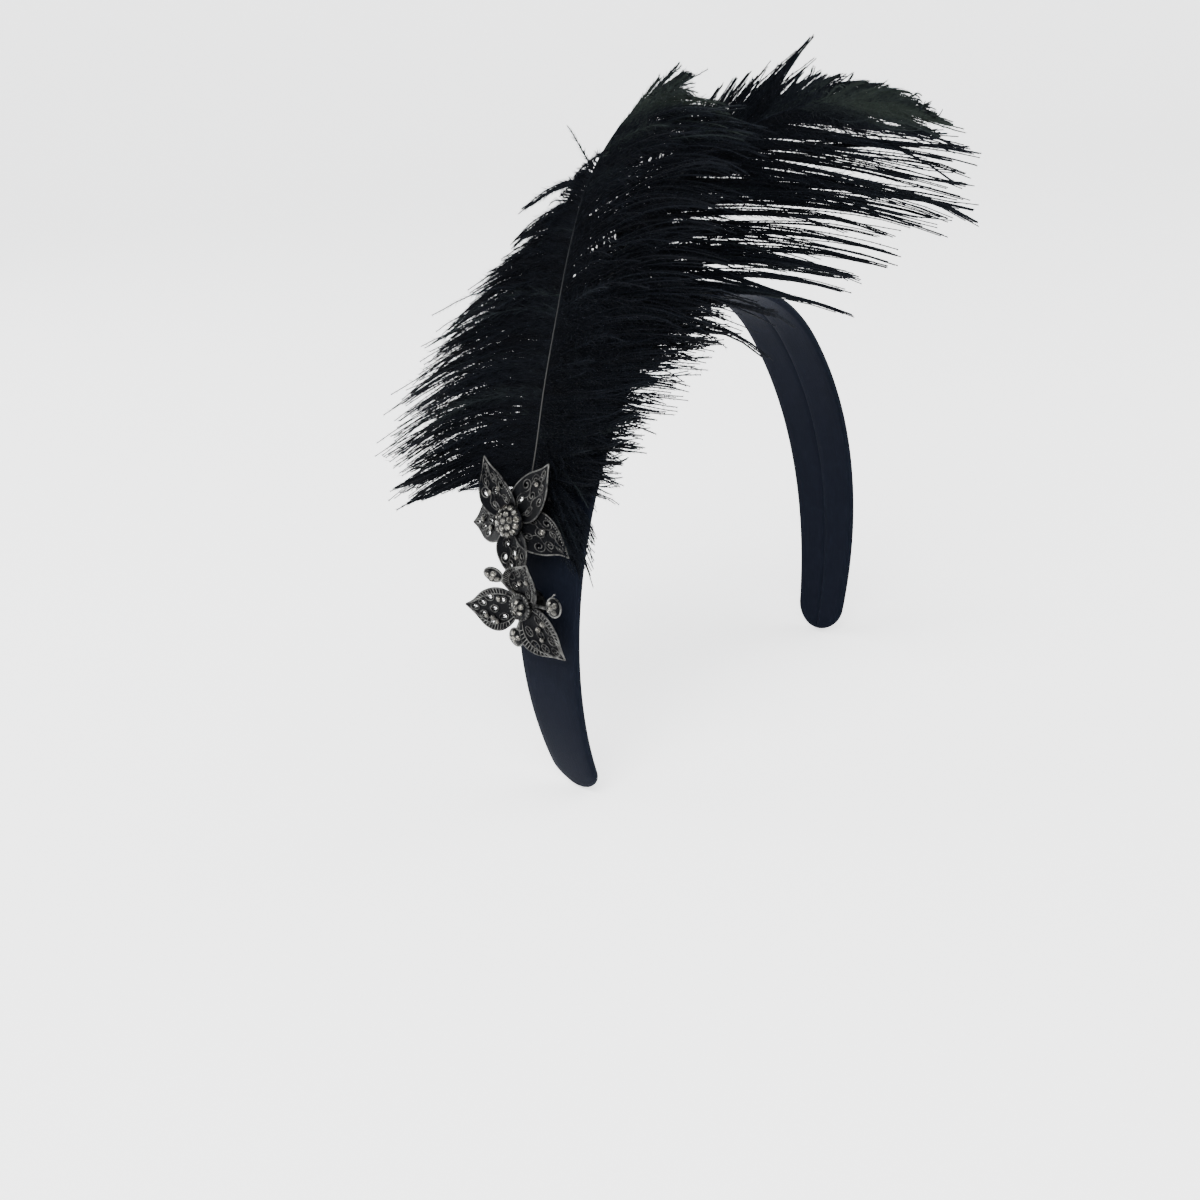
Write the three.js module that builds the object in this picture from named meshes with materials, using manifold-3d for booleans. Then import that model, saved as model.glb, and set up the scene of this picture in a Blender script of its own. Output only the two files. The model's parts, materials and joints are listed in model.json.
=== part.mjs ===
// Feather headband: a satin hair band with two filigree flowers and two ostrich plumes on its left leg.
// Millimetres, +Z up. The wearer faces -Y, and +X is the wearer's left.
// The origin is on the band's inner face at the crown, where the head carries it.
import * as THREE from "three";
import { mergeVertices } from "three/addons/utils/BufferGeometryUtils.js";
import Module from "manifold-3d";

const wasm = await Module();
wasm.setup();

const DEG = Math.PI / 180;
const GAP = 0.3; // clearance between pieces that rest on each other
const WELD = 1e-4; // corners closer than this are one corner

// The band bends on two radii a side. Widths are across the head, lengths along the band.
const BAND = {
  crownRadius: 62,
  sideRadius: 130,
  crownAngle: 54.8 * DEG,
  tipAngle: 110 * DEG,
  thickness: 2.6,
  crowning: 0.4,
  edge: 0.8,
  crownWidth: 28,
  tipWidth: 18,
  taperFrom: 63,
  stations: 21,
};
const CROWN_LENGTH = BAND.crownRadius * BAND.crownAngle;
const HALF_LENGTH = CROWN_LENGTH + BAND.sideRadius * (BAND.tipAngle - BAND.crownAngle);
const TIP_STEPS = [0, 25, 45, 62, 76]; // degrees round a tip of the band

// Where the trims sit on the left leg: along the band from the crown, back from its middle line.
const PLUME_SEAT = { along: 85.1, back: -8 };
const UPPER_SEAT = { along: 92.8, back: -10.3 };
const LOWER_SEAT = { along: 116.3, back: -3.4 };

// A plume's shaft in the seat's axes, and the barbs of its two sides from root (0) to tip (1).
// A barb has a length, an angle from the shaft, a droop with gravity and a lift off the face.
const PLUMES = {
  plume_front: {
    face: { out: 0.95, back: 0.25, up: 0.1 },
    rootRadius: 1.2,
    tipRadius: 0.5,
    locks: 21,
    shaft: [
      { up: 0, back: -1, out: 2.6 },
      { up: 14, back: 1.5, out: 5.6 },
      { up: 32, back: 3.5, out: 9 },
      { up: 51, back: 6, out: 12 },
      { up: 72, back: 9, out: 15 },
      { up: 90, back: 12, out: 16 },
      { up: 104, back: 18, out: 16 },
      { up: 115, back: 26.5, out: 15 },
      { up: 122, back: 36.5, out: 14 },
    ],
    frontBarbs: [
      { at: 0.07, length: 36, angle: 94, droop: 0.45, lift: 0.4 },
      { at: 0.12, length: 46, angle: 94, droop: 0.45, lift: 0.26 },
      { at: 0.17, length: 52, angle: 92, droop: 0.45, lift: 0.18 },
      { at: 0.25, length: 56, angle: 92, droop: 0.45, lift: 0.1 },
      { at: 0.38, length: 48, angle: 92, droop: 0.45, lift: 0.1 },
      { at: 0.53, length: 31, angle: 92, droop: 0.42, lift: 0.1 },
      { at: 0.66, length: 12, angle: 88, droop: 0.38, lift: 0.1 },
      { at: 0.77, length: 6, angle: 66, droop: 0.2, lift: 0.1 },
      { at: 0.87, length: 5, angle: 40, droop: 0.1, lift: 0 },
      { at: 1, length: 5, angle: 15, droop: 0.05, lift: 0 },
    ],
    rearBarbs: [
      { at: 0.07, length: 24, angle: 108, droop: 0.5, lift: 0.4 },
      { at: 0.12, length: 26, angle: 88, droop: 0.5, lift: 0.26 },
      { at: 0.17, length: 33, angle: 66, droop: 0.5, lift: 0.18 },
      { at: 0.25, length: 46, angle: 48, droop: 0.48, lift: 0.1 },
      { at: 0.38, length: 61, angle: 40, droop: 0.45, lift: 0.1 },
      { at: 0.53, length: 72, angle: 36, droop: 0.5, lift: 0.1 },
      { at: 0.66, length: 72, angle: 34, droop: 0.48, lift: 0.1 },
      { at: 0.77, length: 54, angle: 28, droop: 0.4, lift: 0.1 },
      { at: 0.87, length: 34, angle: 20, droop: 0.25, lift: 0 },
      { at: 1, length: 12, angle: 10, droop: 0.05, lift: 0 },
    ],
  },
  plume_rear: {
    face: { out: 0.9, back: 0.4, up: 0.1 },
    rootRadius: 1,
    tipRadius: 0.5,
    locks: 22,
    shaft: [
      { up: 0, back: 7, out: 1.7 },
      { up: 12, back: 6, out: 1 },
      { up: 26, back: 5.5, out: -0.4 },
      { up: 52, back: 5.5, out: -3 },
      { up: 76, back: 11.5, out: -5 },
      { up: 97, back: 22, out: -8 },
      { up: 110, back: 36.5, out: -10 },
      { up: 119, back: 54, out: -11 },
      { up: 122, back: 72, out: -12 },
      { up: 122, back: 87.5, out: -13 },
      { up: 120, back: 98, out: -14 },
    ],
    frontBarbs: [
      { at: 0.2, length: 26, angle: 40, droop: 0.3, lift: 0.32 },
      { at: 0.3, length: 28, angle: 35, droop: 0.25, lift: 0.26 },
      { at: 0.42, length: 30, angle: 30, droop: 0.2, lift: 0.06 },
      { at: 0.55, length: 28, angle: 28, droop: 0.15, lift: 0 },
      { at: 0.66, length: 25, angle: 28, droop: 0.1, lift: 0 },
      { at: 0.76, length: 18, angle: 28, droop: 0.1, lift: 0 },
      { at: 0.86, length: 15, angle: 24, droop: 0.15, lift: 0 },
      { at: 0.94, length: 12, angle: 18, droop: 0.1, lift: 0 },
      { at: 1, length: 9, angle: 8, droop: 0.05, lift: 0 },
    ],
    rearBarbs: [
      { at: 0.2, length: 36, angle: 62, droop: 0.3, lift: 0.32 },
      { at: 0.3, length: 54, angle: 58, droop: 0.32, lift: 0.26 },
      { at: 0.42, length: 74, angle: 52, droop: 0.28, lift: 0.06 },
      { at: 0.55, length: 80, angle: 42, droop: 0.18, lift: 0 },
      { at: 0.66, length: 76, angle: 31, droop: 0.1, lift: 0 },
      { at: 0.76, length: 54, angle: 21, droop: 0.06, lift: 0 },
      { at: 0.86, length: 30, angle: 14, droop: 0.05, lift: 0 },
      { at: 0.94, length: 16, angle: 10, droop: 0.05, lift: 0 },
      { at: 1, length: 9, angle: 8, droop: 0.05, lift: 0 },
    ],
  },
};
// Places along a barb, with the thickness of the vane on a lock and between two locks.
const LOCK_STEPS = [
  { at: 0, onLock: 0.7, between: 0.7 },
  { at: 0.35, onLock: 1.8, between: 1 },
  { at: 0.7, onLock: 1.5, between: 0.9 },
  { at: 1, onLock: 0.4, between: 0.4 },
];
// Shares of a barb's length that locks reach and at which they part, in turn.
const LOCK_TURNS = [
  { reach: 1, parting: 0.62 },
  { reach: 0.88, parting: 0.54 },
  { reach: 0.96, parting: 0.66 },
  { reach: 0.84, parting: 0.5 },
];
const SHAFT_SIDES = 6;
const SHAFT_STEPS = 16;
const SHAFT_TENSION = 0.5;

// A flower stands on a post over the band. Angles run from the back round to the top, in degrees.
const FLOWER = {
  height: 6.5,
  hubRadius: 4.4,
  hubThickness: 2.8,
  padRadius: 4,
  padThickness: 1.4,
  postRadius: 2,
};
const PETAL = { thickness: 0.9, base: 2.4, cup: 1.2, outline: 8, start: 2.6 };
const SWELL = { lean: 0.85, fullness: 0.8, taper: 0.25 }; // how a petal widens and narrows
const UPPER_PETALS = [
  { angle: 124, length: 19, width: 11.5, lift: 12, curl: 1 },
  { angle: 56, length: 22, width: 12.5, lift: 3, curl: 2.2 },
  { angle: -14, length: 21, width: 12.5, lift: -9, curl: 0.5 },
  { angle: -78, length: 17, width: 12, lift: -8, curl: 0.5 },
  { angle: -166, length: 19.5, width: 13, lift: -14, curl: 0 },
];
const LOWER_PETALS = [
  { angle: 74, length: 12.5, width: 14.5, lift: 10, curl: 0.6 },
  { angle: 190, length: 21, width: 13, lift: 5, curl: 0 },
  { angle: -42, length: 18.5, width: 14, lift: -9, curl: 0 },
];
// The gaps in a petal: place along it, place across it as a share of the half width, and half sizes.
const PETAL_GAPS = [
  { along: 0.24, across: 0.4, long: 1.5, wide: 0.8 },
  { along: 0.24, across: -0.4, long: 1.5, wide: 0.8 },
  { along: 0.42, across: 0, long: 1.3, wide: 0.9 },
  { along: 0.48, across: 0.6, long: 1.5, wide: 1 },
  { along: 0.48, across: -0.6, long: 1.5, wide: 1 },
  { along: 0.64, across: 0.36, long: 1.3, wide: 0.8 },
  { along: 0.64, across: -0.36, long: 1.3, wide: 0.8 },
  { along: 0.81, across: 0, long: 1.5, wide: 0.7 },
];
const GAP_SIDES = 6;

// Round florets on stems, between the petals of the lower flower.
const FLORETS = [
  { name: "floret_1_stones", angle: 121, reach: 10.6, lift: 36 },
  { name: "floret_2_stones", angle: 12, reach: 10.8, lift: 2 },
  { name: "floret_3_stones", angle: -105, reach: 7.6, lift: -6 },
];
const FLORET = { start: 3.4, radius: 3.1, thickness: 1, stemWidth: 1.6, stemThickness: 1.1 };

// Clusters of cut stones on a shallow dome. Rings run outwards; a lean of 1 is at the dome's rim.
const STONE = { sides: 8, table: 0.55, crown: 0.55, sink: 0.36 };
const UPPER_CLUSTER = {
  radius: 4.5,
  dome: 2.3,
  stone: 0.88,
  rings: [{ count: 1, lean: 0 }, { count: 6, lean: 0.42 }, { count: 10, lean: 0.71 }],
};
const LOWER_CLUSTER = {
  radius: 2.7,
  dome: 1.4,
  stone: 0.85,
  rings: [{ count: 1, lean: 0 }, { count: 5, lean: 0.64 }],
};
const FLORET_CLUSTER = {
  radius: 2.6,
  dome: 0.9,
  stone: 0.85,
  rings: [{ count: 1, lean: 0 }, { count: 4, lean: 0.6 }],
};
const DOME_SHARES = [0.5, 0]; // places up the bed's dome, from rim to top
const ROUND_SIDES = 12;

// A closed body through rings of equal size, which run anticlockwise seen from the far end.
function loft(rings) {
  const size = rings[0].length;
  const last = (rings.length - 1) * size;
  const index = [];
  for (let i = 0; i < rings.length - 1; i += 1) {
    for (let j = 0; j < size; j += 1) {
      const a = i * size + j;
      const b = i * size + ((j + 1) % size);
      index.push(a, b, b + size, a, b + size, a + size);
    }
  }
  for (let j = 1; j < size - 1; j += 1) {
    index.push(0, j + 1, j, last, last + j, last + j + 1);
  }
  const geometry = new THREE.BufferGeometry().setFromPoints(rings.flat());
  geometry.setIndex(index);
  return geometry;
}

// The closed geometry as a solid that can be joined.
function solidOf(geometry) {
  const bare = geometry.clone();
  bare.deleteAttribute("normal");
  bare.deleteAttribute("uv");
  const merged = mergeVertices(bare, WELD);
  return new wasm.Manifold(new wasm.Mesh({
    numProp: 3,
    vertProperties: new Float32Array(merged.attributes.position.array),
    triVerts: new Uint32Array(merged.index.array),
  }));
}

// One body out of closed geometries that overlap, with any closed hollow between them filled.
function fuse(geometries) {
  const joined = geometries.map(solidOf).reduce((whole, piece) => whole.add(piece));
  const shells = joined.decompose().filter((shell) => shell.volume() > 0);
  const mesh = shells.reduce((whole, shell) => whole.add(shell)).getMesh();
  const geometry = new THREE.BufferGeometry();
  geometry.setAttribute("position", new THREE.BufferAttribute(mesh.vertProperties, 3));
  geometry.setIndex(new THREE.BufferAttribute(mesh.triVerts, 1));
  return geometry;
}

// The values of a table's columns at a place between its rows.
function rowAt(table, at) {
  const next = table.findIndex((row) => row.at >= at);
  const above = table[next < 0 ? table.length - 1 : next];
  const below = table[Math.max(next - 1, 0)];
  const span = above.at - below.at;
  const share = span > 0 ? THREE.MathUtils.clamp((at - below.at) / span, 0, 1) : 0;
  const values = {};
  for (const column of Object.keys(above)) {
    values[column] = THREE.MathUtils.lerp(below[column], above[column], share);
  }
  return values;
}

// The angle of the band's normal from the crown, at a length along the band.
function bandAngle(along) {
  const size = Math.abs(along);
  const past = Math.max(0, size - CROWN_LENGTH);
  const angle = Math.min(size, CROWN_LENGTH) / BAND.crownRadius + past / BAND.sideRadius;
  return Math.sign(along) * angle;
}

// A point of the band at a length along it, across it and out from its inner face.
function bandPoint(along, across, out) {
  const angle = bandAngle(along);
  const bend = THREE.MathUtils.clamp(angle, -BAND.crownAngle, BAND.crownAngle);
  const x = BAND.crownRadius * Math.sin(bend) + BAND.sideRadius * (Math.sin(angle) - Math.sin(bend));
  const z = BAND.crownRadius * (Math.cos(bend) - 1) + BAND.sideRadius * (Math.cos(angle) - Math.cos(bend));
  return new THREE.Vector3(x + out * Math.sin(angle), across, z + out * Math.cos(angle));
}

// Half the band's width: even over the crown, narrower down the leg, round at the tip.
function bandHalfWidth(along) {
  const size = Math.abs(along);
  const taper = THREE.MathUtils.clamp((size - BAND.taperFrom) / (HALF_LENGTH - BAND.taperFrom), 0, 1);
  const width = BAND.crownWidth - (BAND.crownWidth - BAND.tipWidth) * taper ** 2;
  const round = BAND.tipWidth / 2;
  const past = Math.max(0, size - (HALF_LENGTH - round)) / round;
  return (width / 2) * Math.sqrt(1 - Math.min(past, 1) ** 2);
}

function bandRing(along) {
  const half = bandHalfWidth(along);
  const flat = half - BAND.edge;
  const top = BAND.thickness;
  const section = [
    [-flat, 0], [flat, 0],
    [half, BAND.edge], [half, top - BAND.edge],
    [flat, top], [0, top + BAND.crowning], [-flat, top],
    [-half, top - BAND.edge], [-half, BAND.edge],
  ];
  return section.map(([across, out]) => bandPoint(along, across, out));
}

function band() {
  const round = BAND.tipWidth / 2;
  const straight = HALF_LENGTH - round;
  const leg = [];
  for (let i = 1; i < BAND.stations; i += 1) {
    leg.push((straight * i) / BAND.stations);
  }
  TIP_STEPS.forEach((step) => leg.push(straight + round * Math.sin(step * DEG)));
  const places = [...leg.map((along) => -along).reverse(), 0, ...leg];
  return loft(places.map(bandRing));
}

// A group whose x runs out from the band's outer face, y to the back and z up along the leg.
function seat(name, place) {
  const group = new THREE.Group();
  group.name = name;
  group.position.copy(bandPoint(place.along, place.back, BAND.thickness));
  group.rotation.y = bandAngle(place.along) - Math.PI / 2;
  return group;
}

function plumeShaft(plume) {
  const points = plume.shaft.map((row) => new THREE.Vector3(row.out, row.back, row.up));
  return new THREE.CatmullRomCurve3(points, false, "catmullrom", SHAFT_TENSION);
}

// The directions at a place on the shaft: along it, out of the vane's face, and to the vane's rear side.
function vaneFrame(plume, shaft, at) {
  const along = shaft.getTangentAt(at);
  const face = new THREE.Vector3(plume.face.out, plume.face.back, plume.face.up);
  face.addScaledVector(along, -face.dot(along)).normalize();
  const rear = new THREE.Vector3().crossVectors(along, face);
  return { along, face, rear };
}

function shaftBody(plume, shaft) {
  const rings = [];
  for (let i = 0; i <= SHAFT_STEPS; i += 1) {
    const at = i / SHAFT_STEPS;
    const frame = vaneFrame(plume, shaft, at);
    const radius = THREE.MathUtils.lerp(plume.rootRadius, plume.tipRadius, at);
    const middle = shaft.getPointAt(at);
    const ring = [];
    for (let j = 0; j < SHAFT_SIDES; j += 1) {
      const turn = (2 * Math.PI * j) / SHAFT_SIDES;
      ring.push(middle.clone()
        .addScaledVector(frame.face, radius * Math.cos(turn))
        .addScaledVector(frame.rear, radius * Math.sin(turn)));
    }
    rings.push(ring);
  }
  return loft(rings);
}

// A barb leaves the shaft at its angle, then falls and lifts with the square of the distance.
function barbAt(plume, shaft, at, side, gravity) {
  const row = rowAt(side > 0 ? plume.rearBarbs : plume.frontBarbs, at);
  const angle = row.angle * DEG;
  const { along, face, rear } = vaneFrame(plume, shaft, at);
  const root = shaft.getPointAt(at);
  const start = along.clone().multiplyScalar(Math.cos(angle)).addScaledVector(rear, side * Math.sin(angle));
  const bend = gravity.clone().multiplyScalar(row.droop).addScaledVector(face, row.lift);
  return (share) => {
    const run = start.clone().addScaledVector(bend, 2 * share).normalize();
    const point = root.clone()
      .addScaledVector(start, row.length * share)
      .addScaledVector(bend, row.length * share ** 2);
    const normal = face.clone().addScaledVector(run, -face.dot(run)).normalize();
    return { point, normal };
  };
}

// One side of the vane: a web by the shaft that parts into pointed locks, thickest along each lock.
function vaneSide(plume, shaft, side, gravity) {
  const first = plume.frontBarbs[0].at;
  const steps = 2 * plume.locks;
  const rings = [];
  for (let i = 0; i <= steps; i += 1) {
    const barb = barbAt(plume, shaft, THREE.MathUtils.lerp(first, 1, i / steps), side, gravity);
    const turn = Math.floor(i / 2) % LOCK_TURNS.length;
    const onLock = i % 2 === 1;
    const reach = onLock ? LOCK_TURNS[turn].reach : LOCK_TURNS[turn].parting;
    const sheet = LOCK_STEPS.map((step) => {
      const { point, normal } = barb(reach * step.at);
      const half = (onLock ? step.onLock : step.between) / 2;
      return { point, offset: normal.multiplyScalar(side * half) };
    });
    const over = sheet.map(({ point, offset }) => point.clone().add(offset));
    const under = sheet.map(({ point, offset }) => point.clone().sub(offset)).reverse();
    rings.push([...over, ...under]);
  }
  return loft(rings);
}

function plumeBody(plume, gravity) {
  const shaft = plumeShaft(plume);
  return fuse([
    shaftBody(plume, shaft),
    vaneSide(plume, shaft, -1, gravity),
    vaneSide(plume, shaft, 1, gravity),
  ]);
}

// The frame of a leaf of a flower: x out of its face, y along it, z across it. Angles in radians.
function leafFrame(angle, lift, start, height) {
  const outward = new THREE.Vector3(0, Math.cos(angle), Math.sin(angle));
  const normal = new THREE.Vector3(1, 0, 0);
  const along = outward.clone().multiplyScalar(Math.cos(lift)).addScaledVector(normal, Math.sin(lift));
  const across = new THREE.Vector3().crossVectors(normal, outward);
  const face = new THREE.Vector3().crossVectors(along, across);
  const origin = outward.multiplyScalar(start).addScaledVector(normal, height);
  return new THREE.Matrix4().makeBasis(face, along, across).setPosition(origin);
}

function petalHalfWidth(petal, at) {
  const swell = Math.sin(Math.PI * at ** SWELL.lean) ** SWELL.fullness;
  return PETAL.base * (1 - at) ** 2 + (petal.width / 2) * swell * (1 - SWELL.taper * at);
}

// A gap in a petal, as a closed path in the petal's own plane.
function petalGap(petal, gap) {
  const along = gap.along * petal.length;
  const across = gap.across * petalHalfWidth(petal, gap.along);
  const points = [];
  for (let j = 0; j < GAP_SIDES; j += 1) {
    const turn = (2 * Math.PI * j) / GAP_SIDES;
    points.push(new THREE.Vector2(along + gap.long * Math.cos(turn), across + gap.wide * Math.sin(turn)));
  }
  return new THREE.Path(points);
}

// A pointed petal of sheet metal, pierced, cupped across and curled along its length.
function petalBody(petal) {
  const edge = [];
  for (let i = 0; i < PETAL.outline; i += 1) {
    const at = i / PETAL.outline;
    edge.push(new THREE.Vector2(at * petal.length, petalHalfWidth(petal, at)));
  }
  const tip = new THREE.Vector2(petal.length, 0);
  const mirrored = edge.map((p) => new THREE.Vector2(p.x, -p.y));
  const shape = new THREE.Shape([...mirrored, tip, ...edge.reverse()]);
  shape.holes = PETAL_GAPS.map((gap) => petalGap(petal, gap));
  const geometry = new THREE.ExtrudeGeometry(shape, { depth: PETAL.thickness, bevelEnabled: false });
  const position = geometry.attributes.position;
  for (let i = 0; i < position.count; i += 1) {
    const along = position.getX(i);
    const across = position.getY(i);
    const share = along / petal.length;
    const rise = petal.curl * share ** 2 + PETAL.cup * ((2 * across) / petal.width) ** 2;
    position.setXYZ(i, position.getZ(i) - PETAL.thickness / 2 + rise, along, across);
  }
  const frame = leafFrame(petal.angle * DEG, petal.lift * DEG, PETAL.start, FLOWER.height);
  return geometry.applyMatrix4(frame);
}

// A round body whose axis is x, from one height to another.
function round(radius, from, to) {
  return new THREE.CylinderGeometry(radius, radius, to - from, ROUND_SIDES)
    .rotateZ(-Math.PI / 2)
    .translate((from + to) / 2, 0, 0);
}

// The hub, the post behind it and the pad that rests on the band.
function flowerMiddle() {
  const half = FLOWER.hubThickness / 2;
  const foot = BAND.crowning + GAP;
  return [
    round(FLOWER.hubRadius, FLOWER.height - half, FLOWER.height + half),
    round(FLOWER.postRadius, foot + FLOWER.padThickness / 2, FLOWER.height),
    round(FLOWER.padRadius, foot, foot + FLOWER.padThickness),
  ];
}

function floretFrame(floret) {
  return leafFrame(floret.angle * DEG, floret.lift * DEG, FLORET.start, FLOWER.height);
}

function floretPieces(floret) {
  const half = FLORET.thickness / 2;
  const stem = new THREE.BoxGeometry(FLORET.stemThickness, floret.reach, FLORET.stemWidth);
  stem.translate(0, floret.reach / 2, 0);
  const cup = round(FLORET.radius, -half, half).translate(0, floret.reach, 0);
  return [stem, cup].map((piece) => piece.applyMatrix4(floretFrame(floret)));
}

// A cut stone about x: sloping facets up to a flat table.
function stone(radius) {
  const profile = [
    new THREE.Vector2(0, -STONE.sink * radius),
    new THREE.Vector2(radius, -STONE.sink * radius),
    new THREE.Vector2(STONE.table * radius, STONE.crown * radius),
    new THREE.Vector2(0, STONE.crown * radius),
  ];
  return new THREE.LatheGeometry(profile, STONE.sides).rotateZ(-Math.PI / 2);
}

// Stones set side by side over a dome that rises along x from its flat back.
function stoneCluster(cluster) {
  const ball = (cluster.radius ** 2 + cluster.dome ** 2) / (2 * cluster.dome);
  const sweep = Math.asin(cluster.radius / ball);
  const riseAt = (turn) => ball * (Math.cos(turn) - Math.cos(sweep));
  const profile = [new THREE.Vector2(0, 0), new THREE.Vector2(cluster.radius, 0)];
  for (const share of DOME_SHARES) {
    const turn = sweep * share;
    profile.push(new THREE.Vector2(ball * Math.sin(turn), riseAt(turn)));
  }
  const pieces = [new THREE.LatheGeometry(profile, STONE.sides).rotateZ(-Math.PI / 2)];
  for (const ring of cluster.rings) {
    const lean = sweep * ring.lean;
    for (let i = 0; i < ring.count; i += 1) {
      const turn = (2 * Math.PI * i) / ring.count;
      const frame = leafFrame(turn, -lean, ball * Math.sin(lean), riseAt(lean));
      pieces.push(stone(cluster.stone).applyMatrix4(frame));
    }
  }
  return fuse(pieces);
}

function material(name, color, roughness, metalness) {
  return new THREE.MeshStandardMaterial({ name, color, roughness, metalness });
}

const SATIN = material("band_satin", 0x0b0d14, 0.55, 0);
const FEATHER = material("plume_black", 0x050608, 0.8, 0);
const METAL = material("antique_metal", 0x5a5a5c, 0.35, 1);
const GLASS = material("smoky_stones", 0x8d8a7c, 0.05, 0);

function piece(parent, name, geometry, finish) {
  const shown = geometry.index ? geometry.toNonIndexed() : geometry;
  shown.computeVertexNormals();
  const mesh = new THREE.Mesh(shown, finish);
  mesh.name = name;
  parent.add(mesh);
}

const headband = new THREE.Group();
headband.name = "feather_headband";
piece(headband, "band", band(), SATIN);

const plumes = seat("plumes", PLUME_SEAT);
const gravity = new THREE.Vector3(0, 0, -1).applyQuaternion(plumes.quaternion.clone().invert());
for (const [name, plume] of Object.entries(PLUMES)) {
  piece(plumes, name, plumeBody(plume, gravity), FEATHER);
}
headband.add(plumes);

const stoneSeat = FLOWER.height + FLOWER.hubThickness / 2 + GAP;
const upper = seat("upper", UPPER_SEAT);
piece(upper, "flower_upper", fuse([...flowerMiddle(), ...UPPER_PETALS.map(petalBody)]), METAL);
piece(upper, "flower_upper_stones", stoneCluster(UPPER_CLUSTER).translate(stoneSeat, 0, 0), GLASS);
headband.add(upper);

const lower = seat("lower", LOWER_SEAT);
const lowerPieces = [...flowerMiddle(), ...LOWER_PETALS.map(petalBody), ...FLORETS.flatMap(floretPieces)];
piece(lower, "flower_lower", fuse(lowerPieces), METAL);
piece(lower, "flower_lower_stones", stoneCluster(LOWER_CLUSTER).translate(stoneSeat, 0, 0), GLASS);
for (const floret of FLORETS) {
  const cluster = stoneCluster(FLORET_CLUSTER).translate(FLORET.thickness / 2 + GAP, floret.reach, 0);
  piece(lower, floret.name, cluster.applyMatrix4(floretFrame(floret)), GLASS);
}
headband.add(lower);

export default headband;
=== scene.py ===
"""Feather headband: a satin band with ostrich plumes and filigree flowers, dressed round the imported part."""
import json
import math

import bpy
import numpy as np
from bpy.props import FloatProperty, FloatVectorProperty, IntProperty, PointerProperty
from bpy.types import Operator, Panel, PropertyGroup
from mathutils import Matrix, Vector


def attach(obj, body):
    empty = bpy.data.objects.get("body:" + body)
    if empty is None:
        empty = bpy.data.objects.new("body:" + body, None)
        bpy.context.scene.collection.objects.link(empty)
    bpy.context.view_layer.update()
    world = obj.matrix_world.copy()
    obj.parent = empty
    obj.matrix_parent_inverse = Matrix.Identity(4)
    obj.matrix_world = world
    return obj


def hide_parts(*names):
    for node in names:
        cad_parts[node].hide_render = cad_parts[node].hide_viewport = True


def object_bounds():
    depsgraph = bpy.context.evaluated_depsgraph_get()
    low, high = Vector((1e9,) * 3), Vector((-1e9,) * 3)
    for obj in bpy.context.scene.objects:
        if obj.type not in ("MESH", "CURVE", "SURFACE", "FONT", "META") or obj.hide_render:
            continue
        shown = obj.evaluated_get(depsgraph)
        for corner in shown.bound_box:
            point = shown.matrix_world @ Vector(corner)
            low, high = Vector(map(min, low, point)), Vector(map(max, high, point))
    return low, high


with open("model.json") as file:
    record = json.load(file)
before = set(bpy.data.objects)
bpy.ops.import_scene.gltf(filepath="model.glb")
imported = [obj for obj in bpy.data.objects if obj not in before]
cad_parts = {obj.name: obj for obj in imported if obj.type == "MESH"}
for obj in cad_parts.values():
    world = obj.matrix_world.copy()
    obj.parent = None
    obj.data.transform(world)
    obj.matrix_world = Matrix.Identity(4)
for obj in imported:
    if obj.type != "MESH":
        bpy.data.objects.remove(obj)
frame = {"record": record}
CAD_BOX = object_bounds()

bl_info = {
    "name": "Feather headband",
    "version": (1, 0, 0),
    "blender": (4, 5, 0),
    "location": "View3D > Sidebar > Headband",
    "description": "Dresses a hair band with satin, ostrich plumes and filigree flowers",
    "category": "Add Mesh",
}

MM = 0.001
BODY = "root"
BAKE_MAP = "OFBake"
SLOT_COLOURS = {m["slot"]: tuple(m["base_color"][:3]) for m in frame["record"]["materials"]}
OUT = np.array([1.0, 0, 0])  # out of the band's face, in a seat

# Where the trims sit on the left leg: millimetres along the band from its crown, and back from its middle
# line. The wearer faces -Y, and +X is the wearer's left.
PLUME_SEAT = (85.1, -8.0)
UPPER_SEAT = (92.8, -10.3)
LOWER_SEAT = (116.3, -3.4)

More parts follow.
